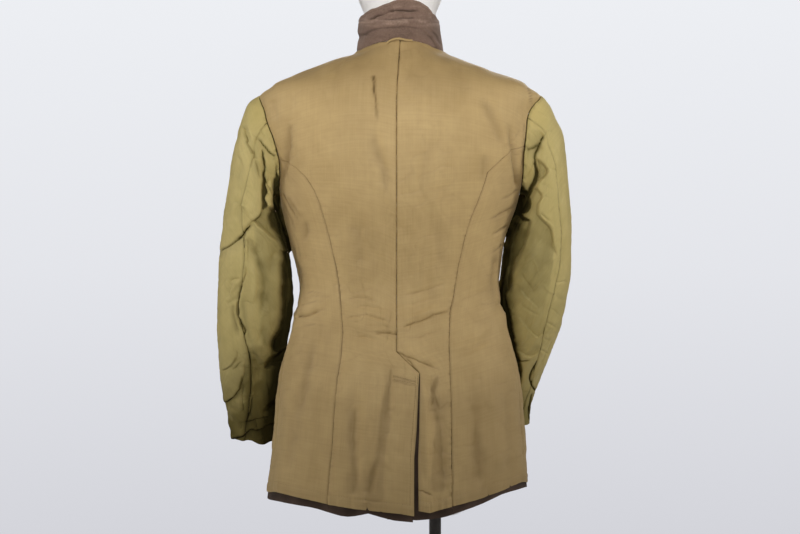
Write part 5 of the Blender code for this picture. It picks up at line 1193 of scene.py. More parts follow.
def back_grid(side, layer, gap, fine=True):
    ts = even_rows(float(hem_row(np.array(side * 0.25), layer, side)), NECK, gap)
    u = even_columns(0.125, gap, fine)
    th_join, t_join = armhole(JOIN[side], side)
    t_top = armhole(0, side)[1]

    def outer(t):
        return np.where(t <= t_join, princess(t, side), np.where(t < t_top, arm_edge(t, side, False), side * math.pi / 2))

    T = np.repeat(ts[:, None], len(u), 1)
    hem = np.repeat(ts[:1], len(u))
    for _ in range(3):
        th0 = back_edge(hem, side, layer)[0]
        th = th0 + (outer(hem) - th0) * u
        hem = hem_row(th, layer, side)
    fade = (1 - smooth(0.0, 1.0, (ts - ts[0]) / 1.2))[:, None]
    T = T + (hem - ts[0]) * fade
    th0, z = back_edge(T, side, layer)
    TH = th0 + (outer(T) - th0) * u
    extra = np.zeros_like(T)
    if side > 0 and layer == 2:
        sunk = 1 - smooth(VENT_TOP + 0.024, VENT_TOP + 0.048, z)
        lap = np.interp(z, VENT[:, 0], VENT[:, 1])
        extra = 0.0032 * sunk * (1 - smooth(-0.004, 0.0025, body(TH, T)[..., 0] - lap))
    return TH, T, extra


def side_grid(side, layer, gap, fine=True):
    u = even_columns(0.125, gap, fine)
    deg = JOIN[side] + (180 - JOIN[side]) * u
    th_c, t_c = armhole(deg, side)
    t0a = float(hem_row(princess(np.array(0.4), side), layer, side))
    t0b = float(hem_row(np.array(side * SIDE_SEAM), layer, side))
    v = np.linspace(0, 1, max(20, int(0.53 / gap)))
    zs_a = np.interp(v, (0, 1), (rows_at(RINGS, np.array(t0a))[ZS], rows_at(RINGS, t_c[0])[ZS]))
    zs_b = np.interp(v, (0, 1), (rows_at(RINGS, np.array(t0b))[ZS], rows_at(RINGS, t_c[-1])[ZS]))
    ta, tb = level(zs_a), level(zs_b)
    T = ta[:, None] + (tb - ta)[:, None] * u
    bend = (np.clip((v - 0.70) / 0.30, 0, 1) ** 1.6)[:, None]
    T = T + bend * (t_c - (t_c[0] + (t_c[-1] - t_c[0]) * u))
    tha, thb = princess(ta, side), side_edge(tb, side)
    tha[-1] = side * th_c[0]
    TH = tha[:, None] + (thb - tha)[:, None] * u
    TH = TH + bend * (side * th_c - (side * th_c[0] + side * (th_c[-1] - th_c[0]) * u))
    fade = (1 - smooth(0.0, 0.16, v))[:, None]
    T = T + (hem_row(TH[:1], layer, side) - T[:1]) * fade
    return TH, T, np.zeros_like(T)


def front_grid(side, layer, gap, fine=True):
    ts = even_rows(float(hem_row(np.array(side * 2.2), layer, side)), NECK, gap, 2.4)
    u = even_columns(0.235, gap, fine)
    t_low, t_top = armhole(180, side)[1], armhole(0, side)[1]

    def outer(t):
        return np.where(t <= t_low, side_edge(t, side), np.where(t < t_top, arm_edge(t, side, True), side * math.pi / 2))

    def lap(t):
        x = -side * LAP * (1 - smooth(NECK - 3.0, NECK, t) * 0.55)
        th = angle_at_x(t, x, behind=False)
        return np.where(side * th < 0, th + side * 2 * math.pi, th)

    T = np.repeat(ts[:, None], len(u), 1)
    TH = outer(T) + (lap(T) - outer(T)) * u
    fade = (1 - smooth(0.0, 1.0, (ts - ts[0]) / 1.2))[:, None]
    T = T + (hem_row(TH[:1], layer, side) - ts[0]) * fade
    TH = outer(T) + (lap(T) - outer(T)) * u
    extra = np.zeros_like(T)
    if side > 0:
        extra = LAP_DEPTH * (1 - smooth(0.026, 0.046, body(TH, T)[..., 0]))
    return TH, T, extra


GRIDS = {"back": back_grid, "side": side_grid, "front": front_grid}
GAPS = {"back": 0.0020, "side": 0.0026, "front": 0.0050}
NAMES = {-1: "left", 1: "right"}
PANELS = {}


def seam_relief(p, edges, seed):
    """Groove and irregular puckers along sewn edges: edges names which of left, right, low, high are sewn."""
    left, right, low, high = edge_distance(p)
    lift = np.zeros(p.shape[:2])
    z = p[..., 2]
    for name, d, run in (("left", left, low), ("right", right, low), ("low", low, left), ("high", high, left)):
        if name not in edges:
            continue
        depth, pucker = edges[name]
        lift -= depth * np.exp(-(d / 0.0013) ** 2)
        ripple = noise(run / 0.0062, d / 0.020, seed) + 0.6 * noise(run / 0.0031, d / 0.012, seed + 1)
        patch = 0.35 + 0.65 * smooth(-0.2, 0.5, noise(run / 0.05, 0.0 * run, seed + 2))
        lift += pucker * ripple * patch * np.exp(-(d / 0.0075) ** 2) * smooth(0.0, 0.0015, d)
    return lift


def make_body(part, side):
    which = NAMES[side]
    TH, T, extra = GRIDS[part](side, 1, GAPS[part])
    base = ease(body(TH, T))
    n = outward(TH, T)
    lift, slide, push, drawn, dark = body_relief(base, n, TH)
    free = {"back": "left", "front": "right"}.get(part)
    left, right, low, high = edge_distance(base)
    z = base[..., 2]
    sewn = {"back": {"left": (0.0012, 0.0006), "right": (0.0010, 0.00080), "high": (0.0010, 0.0002)},
            "side": {"left": (0.0010, 0.00075), "right": (0.0009, 0.0003), "high": (0.0010, 0.0003)},
            "front": {"left": (0.0009, 0.0003), "high": (0.0010, 0.0002)}}[part]
    seams = seam_relief(base, sewn, 61 + 7 * side + len(part))
    tone = np.zeros_like(lift)
    if part == "back":
        # below the vent's top the middle edge is free: a pressed fold, not a seam
        open_ = 1 - smooth(VENT_SLOPE[0] - 0.010, VENT_SLOPE[0] + 0.004, z)
        near = np.exp(-(left / 0.0060) ** 2) * open_
        seams = np.where(left < 0.02, seams * (1 - open_), seams)
        if side < 0:
            lift = lift * (1 - near) + near * 0.0012 + open_ * 0.0006 * np.exp(-(left / 0.020) ** 2)
            lift -= open_ * 0.0007 * np.exp(-((left - 0.0062) / 0.0011) ** 2)
        else:
            lift = lift * (1 - near) - near * 0.0006
    # hem: a turned band with small gathers, its edge drawn in a little
    band = smooth(0.024, 0.006, low)
    arc = TH * 0.19
    gather = np.abs(noise(arc / 0.0075, z / 0.09, 71)) ** 0.8 * np.sign(noise(arc / 0.0075, z / 0.09, 71))
    lift = lift + band * (0.0007 * gather + 0.0004 * noise(arc / 0.0034, z / 0.05, 73))
    lift -= 0.0009 * np.exp(-((low - 0.0155) / 0.0018) ** 2) * (0.6 + 0.4 * noise(arc / 0.02, 0 * arc, 75))
    lift = lift + 0.0006 * np.exp(-((low - 0.0110) / 0.0030) ** 2)
    lift -= 0.0006 * np.exp(-(low / 0.0020) ** 2)
    if part == "front" and side > 0:
        lift = lift * smooth(0.0, 0.02, extra * 0 + base[..., 0])
    p = base + n * (lift + seams - LINING / 2 - extra)[..., None]
    k = ((2.0 + base[..., 1]) / 1190.0)[..., None]
    p[..., 0] += slide[..., 0]
    p[..., 1] += push
    p[..., 2] -= slide[..., 1]
    edge_in(p, 0.0002)
    px, py = picture(base)
    behind = (n[..., 1] < 0)
    sewn_edge = np.minimum(right, high)
    tone = tone + 0.30 * np.exp(-(np.minimum(left, sewn_edge) / 0.0022) ** 2) + 1.15 * smooth(0.0015, 0.0006, right) * (0.85 + 0.35 * noise(z / 0.012, 0 * z, 87))
    if part == "back":
        tick = smooth(0.20, 0.65, noise(z / 0.0032, right / 0.012, 89)) * np.exp(-(right / 0.0055) ** 2) * smooth(1.36, 1.20, z)
        tone = tone + 0.34 * tick * (0.6 + 0.5 * (side > 0))
        line = 1.05 + 0.45 * noise(z / 0.011, 0 * z, 85) + 0.20 * noise(z / 0.0035, 0 * z, 86)
        tone = tone + line * smooth(0.0010, 0.0004, left) * smooth(VENT_SLOPE[0], VENT_SLOPE[0] + 0.006, z)
    tone = tone + 0.22 * smooth(0.030, 0.004, low) * (0.6 + 0.4 * noise(arc / 0.03, z / 0.02, 81))
    # A stain right of the vent, blotches darker towards the hem, and a darker band below the neck.
    stain_and_shade = np.exp(-(((px - 438) / 13) ** 2 + ((py - 405) / 10) ** 2)) * 0.30
    stain_and_shade = stain_and_shade + 0.16 * smooth(0.2, 0.7, fbm(px / 60, py / 80, 91)) * smooth(300, 480, py)
    stain_and_shade = stain_and_shade + (0.62 + 0.28 * fbm(px / 22, py / 22, 93)) * smooth(124, 58, py + 0.10 * np.abs(px - 400))
    # Painted shade on the flanks below the armholes, where the sleeves keep the light off.
    flank = np.maximum(smooth(316, 284, px + 0.05 * (py - 250)), smooth(482, 516, px - 0.05 * (py - 250)))
    stain_and_shade = stain_and_shade + (0.20 + 0.16 * fbm(px / 14, py / 20, 97)) * flank * smooth(150, 195, py) * smooth(372, 318, py)
    # Random blotches, and painted shade low on the skirt's right.
    stain_and_shade = stain_and_shade + 0.10 * smooth(0.0, 0.6, fbm(px / 40, py / 34, 95)) + 0.34 * smooth(442, 496, px) * smooth(345, 410, py)
    # Painted shade in the folds' hollows, from their drawn depth and from the fold tables' shade.
    tone = tone + stain_and_shade * behind + 0.30 * np.clip(-drawn / 0.0050, 0, 1) + dark
    obj = cloth(f"lining_{part}_{which}_cloth", p, LINING, n, [TAN, WOOL], tone, np.stack((left, low), -1))
    dress(obj, f"lining_{part}_{which}", base)
    PANELS[part, side] = (base, p, n, TH, T)
    # the wool shell follows the same folds more softly, deeper where it is hidden
    TH, T, extra = GRIDS[part](side, 2, 0.0085, False)
    base = ease(body(TH, T))
    n = outward(TH, T)
    lift, slide, push, drawn, dark = body_relief(base, n, TH, True)
    left, right, low, high = edge_distance(base)
    hidden = smooth(0.016, 0.034, low) * (1 - sewn_on(base))
    # where it is hidden it keeps under the lining's narrow troughs
    wide = np.pad(lift, 1, mode="edge")
    rows, columns = lift.shape
    least = np.min([wide[i:i + rows, j:j + columns] for i in range(3) for j in range(3)], axis=0)
    lift = lift + (least - lift) * hidden
    if part == "back":
        zz = base[..., 2]
        open_ = 1 - smooth(VENT_TOP - 0.034, VENT_TOP - 0.010, zz)
        near = np.exp(-(left / 0.006) ** 2) * open_ * (side < 0)
        lift = lift * (1 - near)
        hidden = hidden * (1 - open_ * smooth(0.045, 0.020, left))
    lift = lift + 0.0005 * noise(TH * 0.19 / 0.012, base[..., 2] / 0.05, 95) * (1 - hidden)
    p = base + n * (lift - SHELL_DEPTH - SHELL / 2 - 0.0036 * hidden - extra
                    - 0.0025 * smooth(0.030, 0.010, arm_distance(base, side)) * (1 - sewn_on(base)))[..., None]
    p[..., 1] += push
    edge_in(p, 0.0002)
    # Painted shade darkens the whole shell, a little less at its lower edge, with a random tone over it.
    obj = cloth(f"shell_{part}_{which}_cloth", p, SHELL, n, [WOOL], -0.92 + 0.16 * noise(TH * 0.19 / 0.012, base[..., 2] / 0.02, 96) + 0.2 * np.exp(-(low / 0.003) ** 2))
    dress(obj, f"shell_{part}_{which}", base)


def edge_in(p, gap):
    """Draws a grid's edges back from its neighbours."""
    for sl, nb in ((np.s_[:, 0], np.s_[:, 1]), (np.s_[:, -1], np.s_[:, -2]), (np.s_[-1], np.s_[-2])):
        d = p[nb] - p[sl]
        p[sl] = p[sl] + d / (np.linalg.norm(d, axis=-1, keepdims=True) + 1e-9) * gap


# ---------------------------------------------------------------- sleeves
def sleeve_surface(side, deg, v):
    """Points at angles deg (rows by columns) round the armhole, v rings down from it (one a row)."""
    th, t = armhole(deg, side)
    rings = [body(side * th, t)]
    for x_out, y_out, z_out, x_in, y_in, z_in, half, turn in SLEEVE_ROWS[side]:
        a = np.radians(deg + turn)
        outer, inner = np.array((side * x_out, y_out, z_out)), np.array((side * x_in, y_in, z_in))
        mid, axis = (outer + inner) / 2, (outer - inner) / 2
        if abs(axis[2]) < 0.5 * np.linalg.norm(axis):
            flat = np.array((axis[0], axis[1], 0.0))
            flat /= np.linalg.norm(flat)
            across = np.array((flat[1], -flat[0], 0.0)) * side
        else:
            across = np.array((0.0, -1.0, 0.0))
        rings.append(mid + np.cos(a)[..., None] * axis + np.sin(a)[..., None] * across * half)
    r = np.array(rings)
    ext = np.concatenate((2 * r[:1] - r[1:2], r, 2 * r[-1:] - r[-2:-1]))
    k, i = np.minimum(v.astype(int), len(r) - 2), np.arange(len(v))
    u = (v - k)[:, None, None]
    p0, p1, p2, p3 = ext[k, i], ext[k + 1, i], ext[k + 2, i], ext[k + 3, i]
    m1, m2 = (p2 - p0) / 2, (p3 - p1) / 2
    return p1 + u * (m1 + u * (3 * (p2 - p1) - 2 * m1 - m2 + u * (m1 + m2 - 2 * (p2 - p1))))


def flank_at(p, side):
    """How far out the body's side reaches at the points' height and depth."""
    row = rows_at(RINGS, level(p[..., 2]))
    half, deep = row[..., RIGHT if side > 0 else LEFT], np.where(p[..., 1] < 0, row[..., BACK], row[..., FRONT])
    return half * (1 - np.minimum(np.abs(p[..., 1]) / deep, 0.98) ** row[..., SQUARE]) ** (1 / row[..., SQUARE])


def tucked(p, mid, side):
    """Lays the sleeve's inner front against the body below the armpit, where the photograph shows no gap."""
    flank = flank_at(p, side)
    z = p[..., 2]
    if side < 0:
        high = smooth(1.158, 1.190, z)
    else:
        high = smooth(1.050, 1.085, z) * (1 - 0.30 * smooth(1.112, 1.130, z) * smooth(1.216, 1.200, z))
    inner = smooth(0.1, 0.6, (side * (mid - p)[..., 0]) / 0.05)
    w = high * smooth(1.305, 1.285, z) * inner * np.exp(-((p[..., 1] - 0.050) / 0.024) ** 2)
    q = p.copy()
    q[..., 0] -= side * w * np.maximum(0, side * p[..., 0] - flank - 0.0060)
    return q


def seam_angle(side, v):
    """Angle round the sleeve, at every ring, where the back seam is seen to run."""
    q = np.arange(40.0, 126.0, 1.0)
    p = ease(sleeve_surface(side, np.repeat(q[None], len(v), 0), v))
    px, py = picture(p)
    d = near_line(px.ravel(), py.ravel(), smooth_line(SLEEVE_SEAM_SEEN[side]))[0].reshape(px.shape)
    best = q[np.argmin(np.abs(d), 1)]
    reach = 9
    ext = np.concatenate((np.full(reach, best[0]), best, np.full(reach, best[-1])))
    kernel = np.hanning(2 * reach + 3)[1:-1]
    return np.convolve(ext, kernel / kernel.sum(), "valid")


def sleeve_columns(a, b, fine, coarse):
    """Angles from a to b, closer together on the side that shows."""
    q = np.linspace(a, b, 4000)
    gap = np.where((q > -14) & (q < 192), fine, coarse)
    s = np.concatenate(([0], np.cumsum((q[1] - q[0]) * 0.00105 / gap[1:])))
    inner = np.interp(np.linspace(0, s[-1], int(round(s[-1])) + 1), s, q)
    near = np.array([0.5, 1.2, 2.2, 3.2])
    return np.unique(np.concatenate((inner[(inner > a + 4.2) & (inner < b - 4.2)], [a, b], a + near, b - near)))


def make_sleeve(side):
    which = NAMES[side]
    rings = len(SLEEVE_ROWS[side])
    v_fine = np.linspace(0, rings, 900)
    quarters = np.repeat(np.array([[0.0, 90.0, 180.0, 270.0]]), 900, 0)
    probe = sleeve_surface(side, quarters, v_fine).mean(1)
    s = np.concatenate(([0], np.cumsum(np.linalg.norm(np.diff(probe, axis=0), axis=1))))
    v = np.interp(np.linspace(0, s[-1], int(s[-1] / 0.0017)), s, v_fine)
    down = np.interp(v, v_fine, s)
    mid = sleeve_surface(side, np.repeat(np.arange(0.0, 360.0, 15.0)[None], len(v), 0), v).mean(1, keepdims=True)
    settled = 80.0
    back_seam = seam_angle(side, v)[:, None]
    for label, a, b in (("top", SLEEVE_FRONT_SEAM - 360, settled), ("under", settled, SLEEVE_FRONT_SEAM)):
        u = (sleeve_columns(a, b, 0.0016, 0.0045) - a) / (b - a)
        if label == "top":
            deg = a + (back_seam - a) * u
        else:
            deg = back_seam + (b - back_seam) * u
        base = tucked(ease(sleeve_surface(side, deg, v)), mid, side)
        n = gradient_normals(base, base - mid)
        px, py = picture(base)
        back = smooth(-0.05, 0.22, -n[..., 1])
        lift, slide, push, dark = folds(px, py, LEFT_SLEEVE_FOLDS if side < 0 else RIGHT_SLEEVE_FOLDS, 13)
        dark = dark * smooth(-0.30, 0.15, -n[..., 1])
        lift, slide, push = lift * back, slide * back[..., None], push * smooth(0.0, 0.35, -n[..., 1])
        push = np.minimum(np.minimum(push, 0.024), 0.80 * np.maximum(0, mid[..., 1] - base[..., 1]))
        fx, fy = front_picture(base)
        front = smooth(0.10, 0.40, n[..., 1])
        lift = lift + folds(fx, fy, SLEEVE_FRONT_FOLDS[side], 17)[0] * front
        # crumple, more at the elbow and in the lower sleeve
        y = np.repeat(down[:, None], deg.shape[1], 1)
        ring = smooth(0.02, 0.08, y)
        ax, ay = np.cos(np.radians(deg)), np.sin(np.radians(deg))
        # drawn keeps the folds' depth, from which shade is painted into their hollows.
        drawn = lift
        lift = lift + ring * 0.0007 * fbm(ax * 1.3 + 3.0, y / 0.060 + ay * 1.2, 101 + side, 3)
        lift = lift + ring * 0.0003 * fbm(ax * 3.2 + ay * 1.6, y / 0.020 + ay * 1.5, 111 + side, 3)
        round_ = np.radians(deg) * 0.058
        lift = lift + ring * 0.0014 * crumple(round_ / 0.060, y / 0.048, 123 + side)
        lift = lift + ring * 0.0006 * crumple(round_ / 0.022, y / 0.017, 127 + side)
        fine = 0.0006 * creases(ax * 3.0 - ay * 1.2, y / 0.026 + ay * 2.2, 121 + side, 0.08)
        fine = fine + 0.0005 * creases(ax * 4.6 + ay * 3.0, y / 0.017 - ax * 1.4, 125 + side, 0.08)
        fine = fine + 0.0004 * creases(ax * 7.0, y / 0.030 + ay * 1.0, 129 + side, 0.08)
        lift = lift + ring * fine
        drawn = drawn + 3.2 * ring * fine
        lift = lift * smooth(0.0, 0.007, y)
        left, right, low, high = edge_distance(base)
        seams = seam_relief(base, {"left": (0.0010, 0.0005), "right": (0.0010, 0.0005), "low": (0.0012, 0.0005)}, 131 + 5 * side)
        # the seam allowance round the armhole makes a crumpled bead
        bead = (0.50 + 0.90 * noise(left / 0.0052, low / 0.007, 137)) * smooth(0.2, -0.1, n[..., 1])
        bead = bead * (smooth(117, 126, py) if side < 0 else 0.4 * smooth(128, 138, py) + 0.15)
        ridge = np.exp(-((low - 0.0036) / 0.0026) ** 2)
        seams = seams + 0.0034 * bead * ridge
        # cuff: turned hem with a stitched line, its end waved
        end = high
        lift -= 0.0006 * np.exp(-((end - 0.030) / 0.0016) ** 2) * smooth(-0.1, 0.2, n[..., 1])
        lift = lift + smooth(0.05, 0.0, end) * 0.0022 * noise(ax * 1.7 + 5.0, ay * 1.7, 141 + side)
        p = base + n * (lift + seams - SLEEVE / 2)[..., None]
        p[..., 0] += slide[..., 0]
        p[..., 1] += push
        p[..., 2] -= slide[..., 1]
        p[..., 2] += smooth(0.04, 0.0, end) * 0.0040 * noise(ax * 2.3, ay * 2.3, 151 + side)
        edge_in(p[::-1], 0.0003)
        tone = 0.30 * np.exp(-(np.minimum(np.minimum(left, right), low) / 0.0022) ** 2)
        tone = tone + 1.0 * smooth(0.0007, 0.0003, np.minimum(left, right)) + 1.6 * smooth(0.0009, 0.0004, low)
        # Painted shade in the folds' hollows and voids.
        tone = tone + 0.40 * np.clip(-drawn / 0.0060, 0, 1) + dark
        tone = tone + 0.12 * smooth(0.1, 0.7, fbm(ax * 2.2 + 1.0, y / 0.05, 147 + side))
        # Painted shade in the dips between the bead's crumples.
        tone = tone + 1.1 * np.clip(0.30 - bead, 0, 0.6) * ridge * (bead != 0) * smooth(0.2, -0.1, n[..., 1])
        # painted shade where the sleeve lies against the body
        gap = side * base[..., 0] - flank_at(base, side)
        contact_shade = smooth(0.030 if side > 0 else np.where(py < 340, 0.020, 0.034), 0.006, gap) * smooth(0.1, -0.35, side * n[..., 0]) * smooth(0.03, 0.07, y)
        tone = tone + (1.0 + 0.2 * noise(ax * 4, y / 0.02, 149)) * contact_shade
        tone = tone + (0.35 + 0.15 * noise(ax * 3, y / 0.03, 145)) * smooth(0.085, 0.02, end)
        # Painted shade on the lower sleeves, where less light reaches, heavier on the left sleeve.
        tone = tone + (0.80 if side < 0 else 0.34) * smooth(335, 415, py + 0.35 * np.abs(px - (228 if side < 0 else 560)))
        # Painted shade on the sleeves' inner halves below the armpits, turned from the light.
        inner = smooth(252, 276, px) * smooth(215, 235, py) if side < 0 else smooth(546, 520, px) * smooth(215, 235, py)
        tone = tone + 0.12 * inner * smooth(0.2, -0.2, n[..., 1])
        obj = cloth(f"sleeve_{label}_{which}_cloth", p, SLEEVE, n, [OLIVE, WOOL], tone, np.stack((left, low), -1))
        dress(obj, f"sleeve_{label}_{which}", base)
        PANELS["sleeve_" + label, side] = (base, p, n, deg, v)


for side in (-1, 1):
    for part in ("back", "side", "front"):
        make_body(part, side)
for side in (-1, 1):
    make_sleeve(side)


# ---------------------------------------------------------------- collar and hanger loop
def collar_surface(th, v, out=0.0):
    r = rows_at(COLLAR_ROWS, v)
    row = np.concatenate((r[..., :3], r[..., 3:7] + out, np.full(r.shape[:-1] + (1,), 2.05)), -1)
    return ring_point(row, th)


COLLAR_FOLDS = (
    ("line", 0.98, 0.86, ((386, 10.6), (396, 10.2), (408, 10.2), (420, 10.8)), (0.15, 0.15)),
    ("line", 1.12, 0.69, ((367, 20), (374, 17), (383, 13.6)), (0.2, 0.2)),
    ("line", 0.98, 0.77, ((381, 18.8), (392, 19.2), (404, 18.8), (416, 18.4)), (0.15, 0.15)),
    ("line", 1.12, 0.43, ((359, 36), (366, 33), (376, 29), (392, 27), (412, 26.5), (424, 29)), (0.1, 0.2)),
    ("line", 0.98, 0.52, ((425, 33), (433, 40), (438, 49)), (0.2, 0.1)),
    ("line", 0.84, 0.43, ((431, 30), (437, 37), (442, 46)), (0.2, 0.2)),
    ("drop", 1.6, 2.6, ((421, 11), (405, 10), (392, 10.3), (384, 12.5), (376, 16), (367, 20)), (0.2, 0.2)),
    ("vee", 1.6, 2.2, ((382, 18.6), (398, 18.8), (415, 18.4)), (0.2, 0.2)),
    ("ridge", 2.6, 1.5, ((363, 24), (384, 22.5), (404, 22.6), (428, 22)), (0.3, 0.3)),
    ("trough", 2.6, 1.8, ((360, 30), (380, 28), (404, 27.5), (434, 29)), (0.2, 0.2)),
    ("vee", 1.8, 1.6, ((424, 5), (430, 13), (433, 24)), (0.2, 0.4)),
    ("pinch", 1.8, 1.6, ((421, 27), (431, 36), (441, 48)), (0.2, 0.1)),
    ("pinch", 1.6, 1.2, ((428, 26), (435, 33), (440, 41)), (0.2, 0.2)),
    ("vee", 1.8, 1.5, ((358, 37), (365, 35), (374, 36)), (0.0, 0.4)),
    ("trough", 2.4, 1.4, ((372, 4), (366, 12), (361, 22)), (0.2, 0.3)),
    ("vee", 1.6, 1.0, ((390, 32), (402, 33), (414, 31)), (0.3, 0.3)),
)
# How far the turned-up collar's top lies below an even curve, in picture points across it
COLLAR_TOP = np.array(((340, 0), (357, 1.2), (362, 2.2), (368, 2.0), (378, 2.4), (389, 0.8), (397, -1.6), (410, -2.8),
                       (420, -2.2), (428, 0.0), (434, 4.0), (439, 3), (458, 1)))
th = np.linspace(-COLLAR_END, COLLAR_END, 250)
v = np.linspace(0, len(COLLAR_ROWS) - 1, 56)
TH, V = np.meshgrid(th, v)
base = ease(collar_surface(TH, V))
px, py = picture(base)
up = (V / V.max()) ** 1.3
k = smooth(0.03, -0.01, base[..., 1]) * (2.0 + base[..., 1]) / 1190.0
base[..., 2] -= np.interp(px, COLLAR_TOP[:, 0], COLLAR_TOP[:, 1]) * up * k
base[..., 0] += (1.8 * np.exp(-((px - 357) / 5) ** 2 - ((py - 37) / 3.5) ** 2) - 2.6 * np.exp(-((px - 441) / 7) ** 2 - ((py - 16) / 8) ** 2)) * k
n = gradient_normals(base, np.stack((np.sin(TH), -np.cos(TH), 0 * TH), -1))
px, py = picture(base)
lift, slide, push, dark = folds(px, py, COLLAR_FOLDS, 19)
lift = lift * smooth(0.05, 0.3, -n[..., 1])
left, right, low, high = edge_distance(base)
lift = lift + 0.0008 * fbm(TH * 0.073 / 0.020, base[..., 2] / 0.012, 161, 3)
lift = lift + 0.0005 * creases(TH * 0.073 / 0.030, base[..., 2] / 0.009, 165)
lift -= 0.0010 * np.exp(-(low / 0.0016) ** 2) + 0.0006 * np.exp(-((high - 0.006) / 0.0012) ** 2)
lift -= 0.0006 * np.exp(-(high / 0.0015) ** 2)
p = base + n * (lift - COLLAR / 2)[..., None]
p[..., 2] -= 0.0012 * smooth(0.25, 0.0, V)
tone = 0.75 * np.exp(-((py - 22.5) / 2.8) ** 2) * np.clip(0.5 + 0.9 * noise(px / 9, py / 1.6, 171), 0, 1) * (n[..., 1] < 0)
tone = tone + 0.35 * np.exp(-(high / 0.0030) ** 2) * (0.6 + 0.5 * noise(px / 6, py / 6, 173))
tone = tone + 0.30 * smooth(0.35, 0.8, noise(px / 5, py / 2.2, 175)) * smooth(27, 23, py) * (n[..., 1] < 0)
# Painted shade along the collar's creases, and a darker band on the stand.
tone = tone - dark * (n[..., 1] < 0) - 0.16 * smooth(25, 29, py) * smooth(42, 36, py) * (n[..., 1] < 0)
collar = cloth("collar_cloth", p, COLLAR, n, [WOOL], tone)
dress(collar, "collar", base)

# a narrow tape sewn down at both ends on the neck seam
LOOP_LINE = np.array(((386.2, 43.4), (388.5, 41.6), (391.5, 40.0), (395, 38.9), (399, 38.5), (403, 39.2), (407, 40.2), (412.5, 40.6)))
along = rows_at(LOOP_LINE, np.linspace(0, len(LOOP_LINE) - 1, 70))
u = np.linspace(-1, 1, 70)
rows = []
for k in np.linspace(0, 1, 7):
    x = (along[:, 0] - 400) * 1.926 / 1190.0
    y = -np.sqrt(0.0735 ** 2 - x * x) - 0.0019 - 0.0022 * (1 - u * u) - 0.0004 * math.sin(math.pi * k)
    z = 1.15 - (along[:, 1] - 267) * (2.0 + y) / 1190.0 + 0.0030 * (k - 0.5)
    rows.append(np.stack((x, y, z + 0.0003 * noise(u * 6, k * 2, 181)), -1))
base = np.array(rows)
like = np.broadcast_to(np.array((0.0, -1.0, 0.0)), base.shape)
edge = np.minimum(np.linspace(0, 1, 7), 1 - np.linspace(0, 1, 7))[:, None] + 0 * base[..., 0]
loop = cloth("hanger_loop_cloth", base, 0.0010, like, [TAN, TAN], 0.50 + 0.5 * smooth(0.3, 0.0, edge))
dress(loop, "hanger_loop", base, strap=True)

# ---------------------------------------------------------------- stitches
def on_cloth(piece, side, line, wall, gap=0.8):
    """Points and normals on a piece's outer face along a line drawn in the picture."""
    _, p, like = PANELS[piece, side][:3]
    n = gradient_normals(p, like)
    q = (p + n * wall / 2).reshape(-1, 3)
    n = n.reshape(-1, 3)
    px, py = picture(q)
    points, normals = [], []
    for x, y in smooth_line(line, gap):
        d2 = (px - x) ** 2 + (py - y) ** 2
        k = np.argpartition(d2, 6)[:6]
        w = 1 / (d2[k] + 0.02)
        points.append((q[k] * w[:, None]).sum(0) / w.sum())
        normal = (n[k] * w[:, None]).sum(0)
        normals.append(normal / np.linalg.norm(normal))
    return np.array(points), np.array(normals)


def sew(name, rows, material):
    parts = []
    for number, (piece, side, line, length, gap) in enumerate(rows):
        wall = SLEEVE if piece.startswith("sleeve") else LINING
        parts += stitch_row(*on_cloth(piece, side, line, wall), length, gap, seed=5 + number)
    obj = joined(name, parts, material)
    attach(obj, "root")


sew("vent_stitches", (
    ("back", -1, ((393, 375.7), (405, 378.8), (416.4, 382)), 0.0020, 0.0007),
    ("back", -1, ((393.6, 379.3), (405, 381.8), (415.6, 384.2)), 0.0020, 0.0007),
    ("back", -1, ((417.6, 376), (417, 388)), 0.0020, 0.0007),
    ("back", -1, ((415.6, 376), (414.8, 400), (412.6, 430), (410.6, 458), (410.4, 506)), 0.0020, 0.0008)), THREAD_DARK)
sew("hem_stitches", (
    ("back", -1, ((332, 495), (355, 499), (400, 504), (410, 506)), 0.0016, 0.0026),
    ("back", 1, ((422, 502), (432, 503), (450, 497.5)), 0.0016, 0.0026),
    ("side", -1, ((273, 481), (295, 487), (325, 494)), 0.0016, 0.0026),
    ("side", 1, ((455, 496.5), (480, 489), (505, 480), (520, 474)), 0.0016, 0.0026)), THREAD)
sew("cuff_stitches", (
    ("sleeve_under", -1, ((256, 418), (267, 415.5), (277, 412)), 0.0018, 0.0012),), THREAD_DARK)

# ---------------------------------------------------------------- carried-over nodes
for name, obj in NODES.items():
    if obj.hide_render:
        continue
    mat = {"dress_form": FORM, "stand_pole": STEEL, "stand_base": STEEL}.get(name)
    if mat is None:
        mat = BRASS if name.startswith("button") else WOOL
    if not obj.material_slots:
        obj.data.materials.append(mat)
    for s in obj.material_slots:
        s.material = mat

# ---------------------------------------------------------------- floor, light and camera
scene = bpy.context.scene
scene.view_settings.view_transform = "Standard"
scene.view_settings.look = "None"
bpy.ops.mesh.primitive_circle_add(vertices=96, radius=3.0, fill_type="NGON", location=(0, 0, 0))
floor = bpy.context.object
floor.name = "floor"
floor.data.materials.append(hard_material("floor_pale", (0.78, 0.78, 0.79), (0.75, 0.75, 0.765), 0.8, 0.0, 2.0, 0.02))

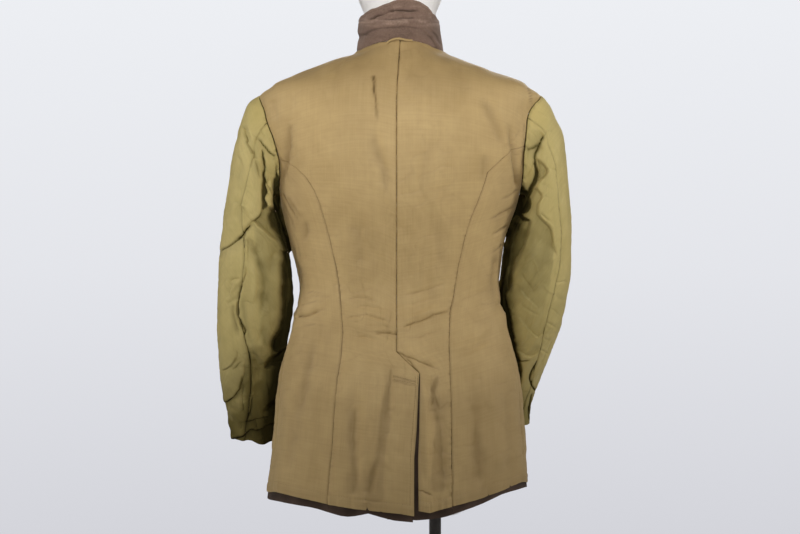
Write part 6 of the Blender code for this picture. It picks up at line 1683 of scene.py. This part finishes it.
world = bpy.data.worlds.new("studio")
scene.world = world
world.use_nodes = True
tree = world.node_tree
tree.nodes.clear()
out = tree.nodes.new("ShaderNodeOutputWorld")
coord = tree.nodes.new("ShaderNodeTexCoord")
split = tree.nodes.new("ShaderNodeSeparateXYZ")
ramp = tree.nodes.new("ShaderNodeValToRGB")
tree.links.new(coord.outputs["Generated"], split.inputs[0])
span = tree.nodes.new("ShaderNodeMapRange")
span.inputs[1].default_value, span.inputs[2].default_value = -0.24, 0.24
tree.links.new(split.outputs["Z"], span.inputs[0])
tree.links.new(span.outputs[0], ramp.inputs[0])
els = ramp.color_ramp.elements
els[0].position, els[0].color = 0.0, (0.640, 0.645, 0.690, 1)
els[1].position, els[1].color = 1.0, (0.855, 0.871, 0.905, 1)
mid = els.new(0.5)
mid.color = (0.775, 0.785, 0.825, 1)
seen = tree.nodes.new("ShaderNodeBackground")
tree.links.new(ramp.outputs[0], seen.inputs["Color"])
lit = tree.nodes.new("ShaderNodeBackground")
lit.inputs["Color"].default_value = (0.93, 0.96, 1.0, 1)
lit.inputs["Strength"].default_value = 0.03
mix = tree.nodes.new("ShaderNodeMixShader")
path = tree.nodes.new("ShaderNodeLightPath")
tree.links.new(path.outputs["Is Camera Ray"], mix.inputs[0])
tree.links.new(lit.outputs[0], mix.inputs[1])
tree.links.new(seen.outputs[0], mix.inputs[2])
tree.links.new(mix.outputs[0], out.inputs["Surface"])


def area_light(name, place, target, size, power, colour=(1, 1, 1), spread=180.0):
    data = bpy.data.lights.new(name, "AREA")
    data.shape = "RECTANGLE"
    data.size, data.size_y = size
    data.energy = power
    data.color = colour
    data.spread = math.radians(spread)
    obj = bpy.data.objects.new(name, data)
    obj.location = place
    obj.rotation_euler = (Vector(target) - Vector(place)).to_track_quat("-Z", "Y").to_euler()
    scene.collection.objects.link(obj)
    return obj


area_light("left", (-1.85, -0.28, 1.80), (0.0, 0.0, 1.5), (0.4, 0.5), 11.4, (1.0, 0.985, 0.965))
area_light("right", (1.85, -0.28, 1.80), (0.0, 0.0, 1.5), (0.4, 0.5), 12.2, (1.0, 0.985, 0.965))
area_light("fill", (0.0, -1.9, 1.75), (0.0, 0.0, 1.62), (0.7, 0.5), 4.9, (1.0, 0.985, 0.965), 70.0)
area_light("rear", (0.4, 2.2, 2.2), (0, 0, 1.2), (1.6, 1.4), 34.0)
for number, place in enumerate(((-1.7, 1.3, 0.70), (1.7, 1.3, 0.70), (0.0, 2.6, 0.70), (-1.8, -2.3, 0.70), (1.8, -2.3, 0.70))):
    lamp = area_light(f"floor_{number + 1}", place, (place[0], place[1] + 0.01, 0.0), (2.6, 2.6), 9.0)
    lamp.visible_camera = False



camera_data = bpy.data.cameras.new("camera")
camera_data.sensor_width = 36.0
camera_data.lens = 1190.0 * 36.0 / 800.0
camera = bpy.data.objects.new("camera", camera_data)
camera.location = (0.0, -2.0, 1.15)
camera.rotation_euler = (math.pi / 2, 0, 0)
scene.collection.objects.link(camera)
scene.camera = camera

bpy.context.view_layer.update()
for row in SHEETS:
    print("sheet", *row)
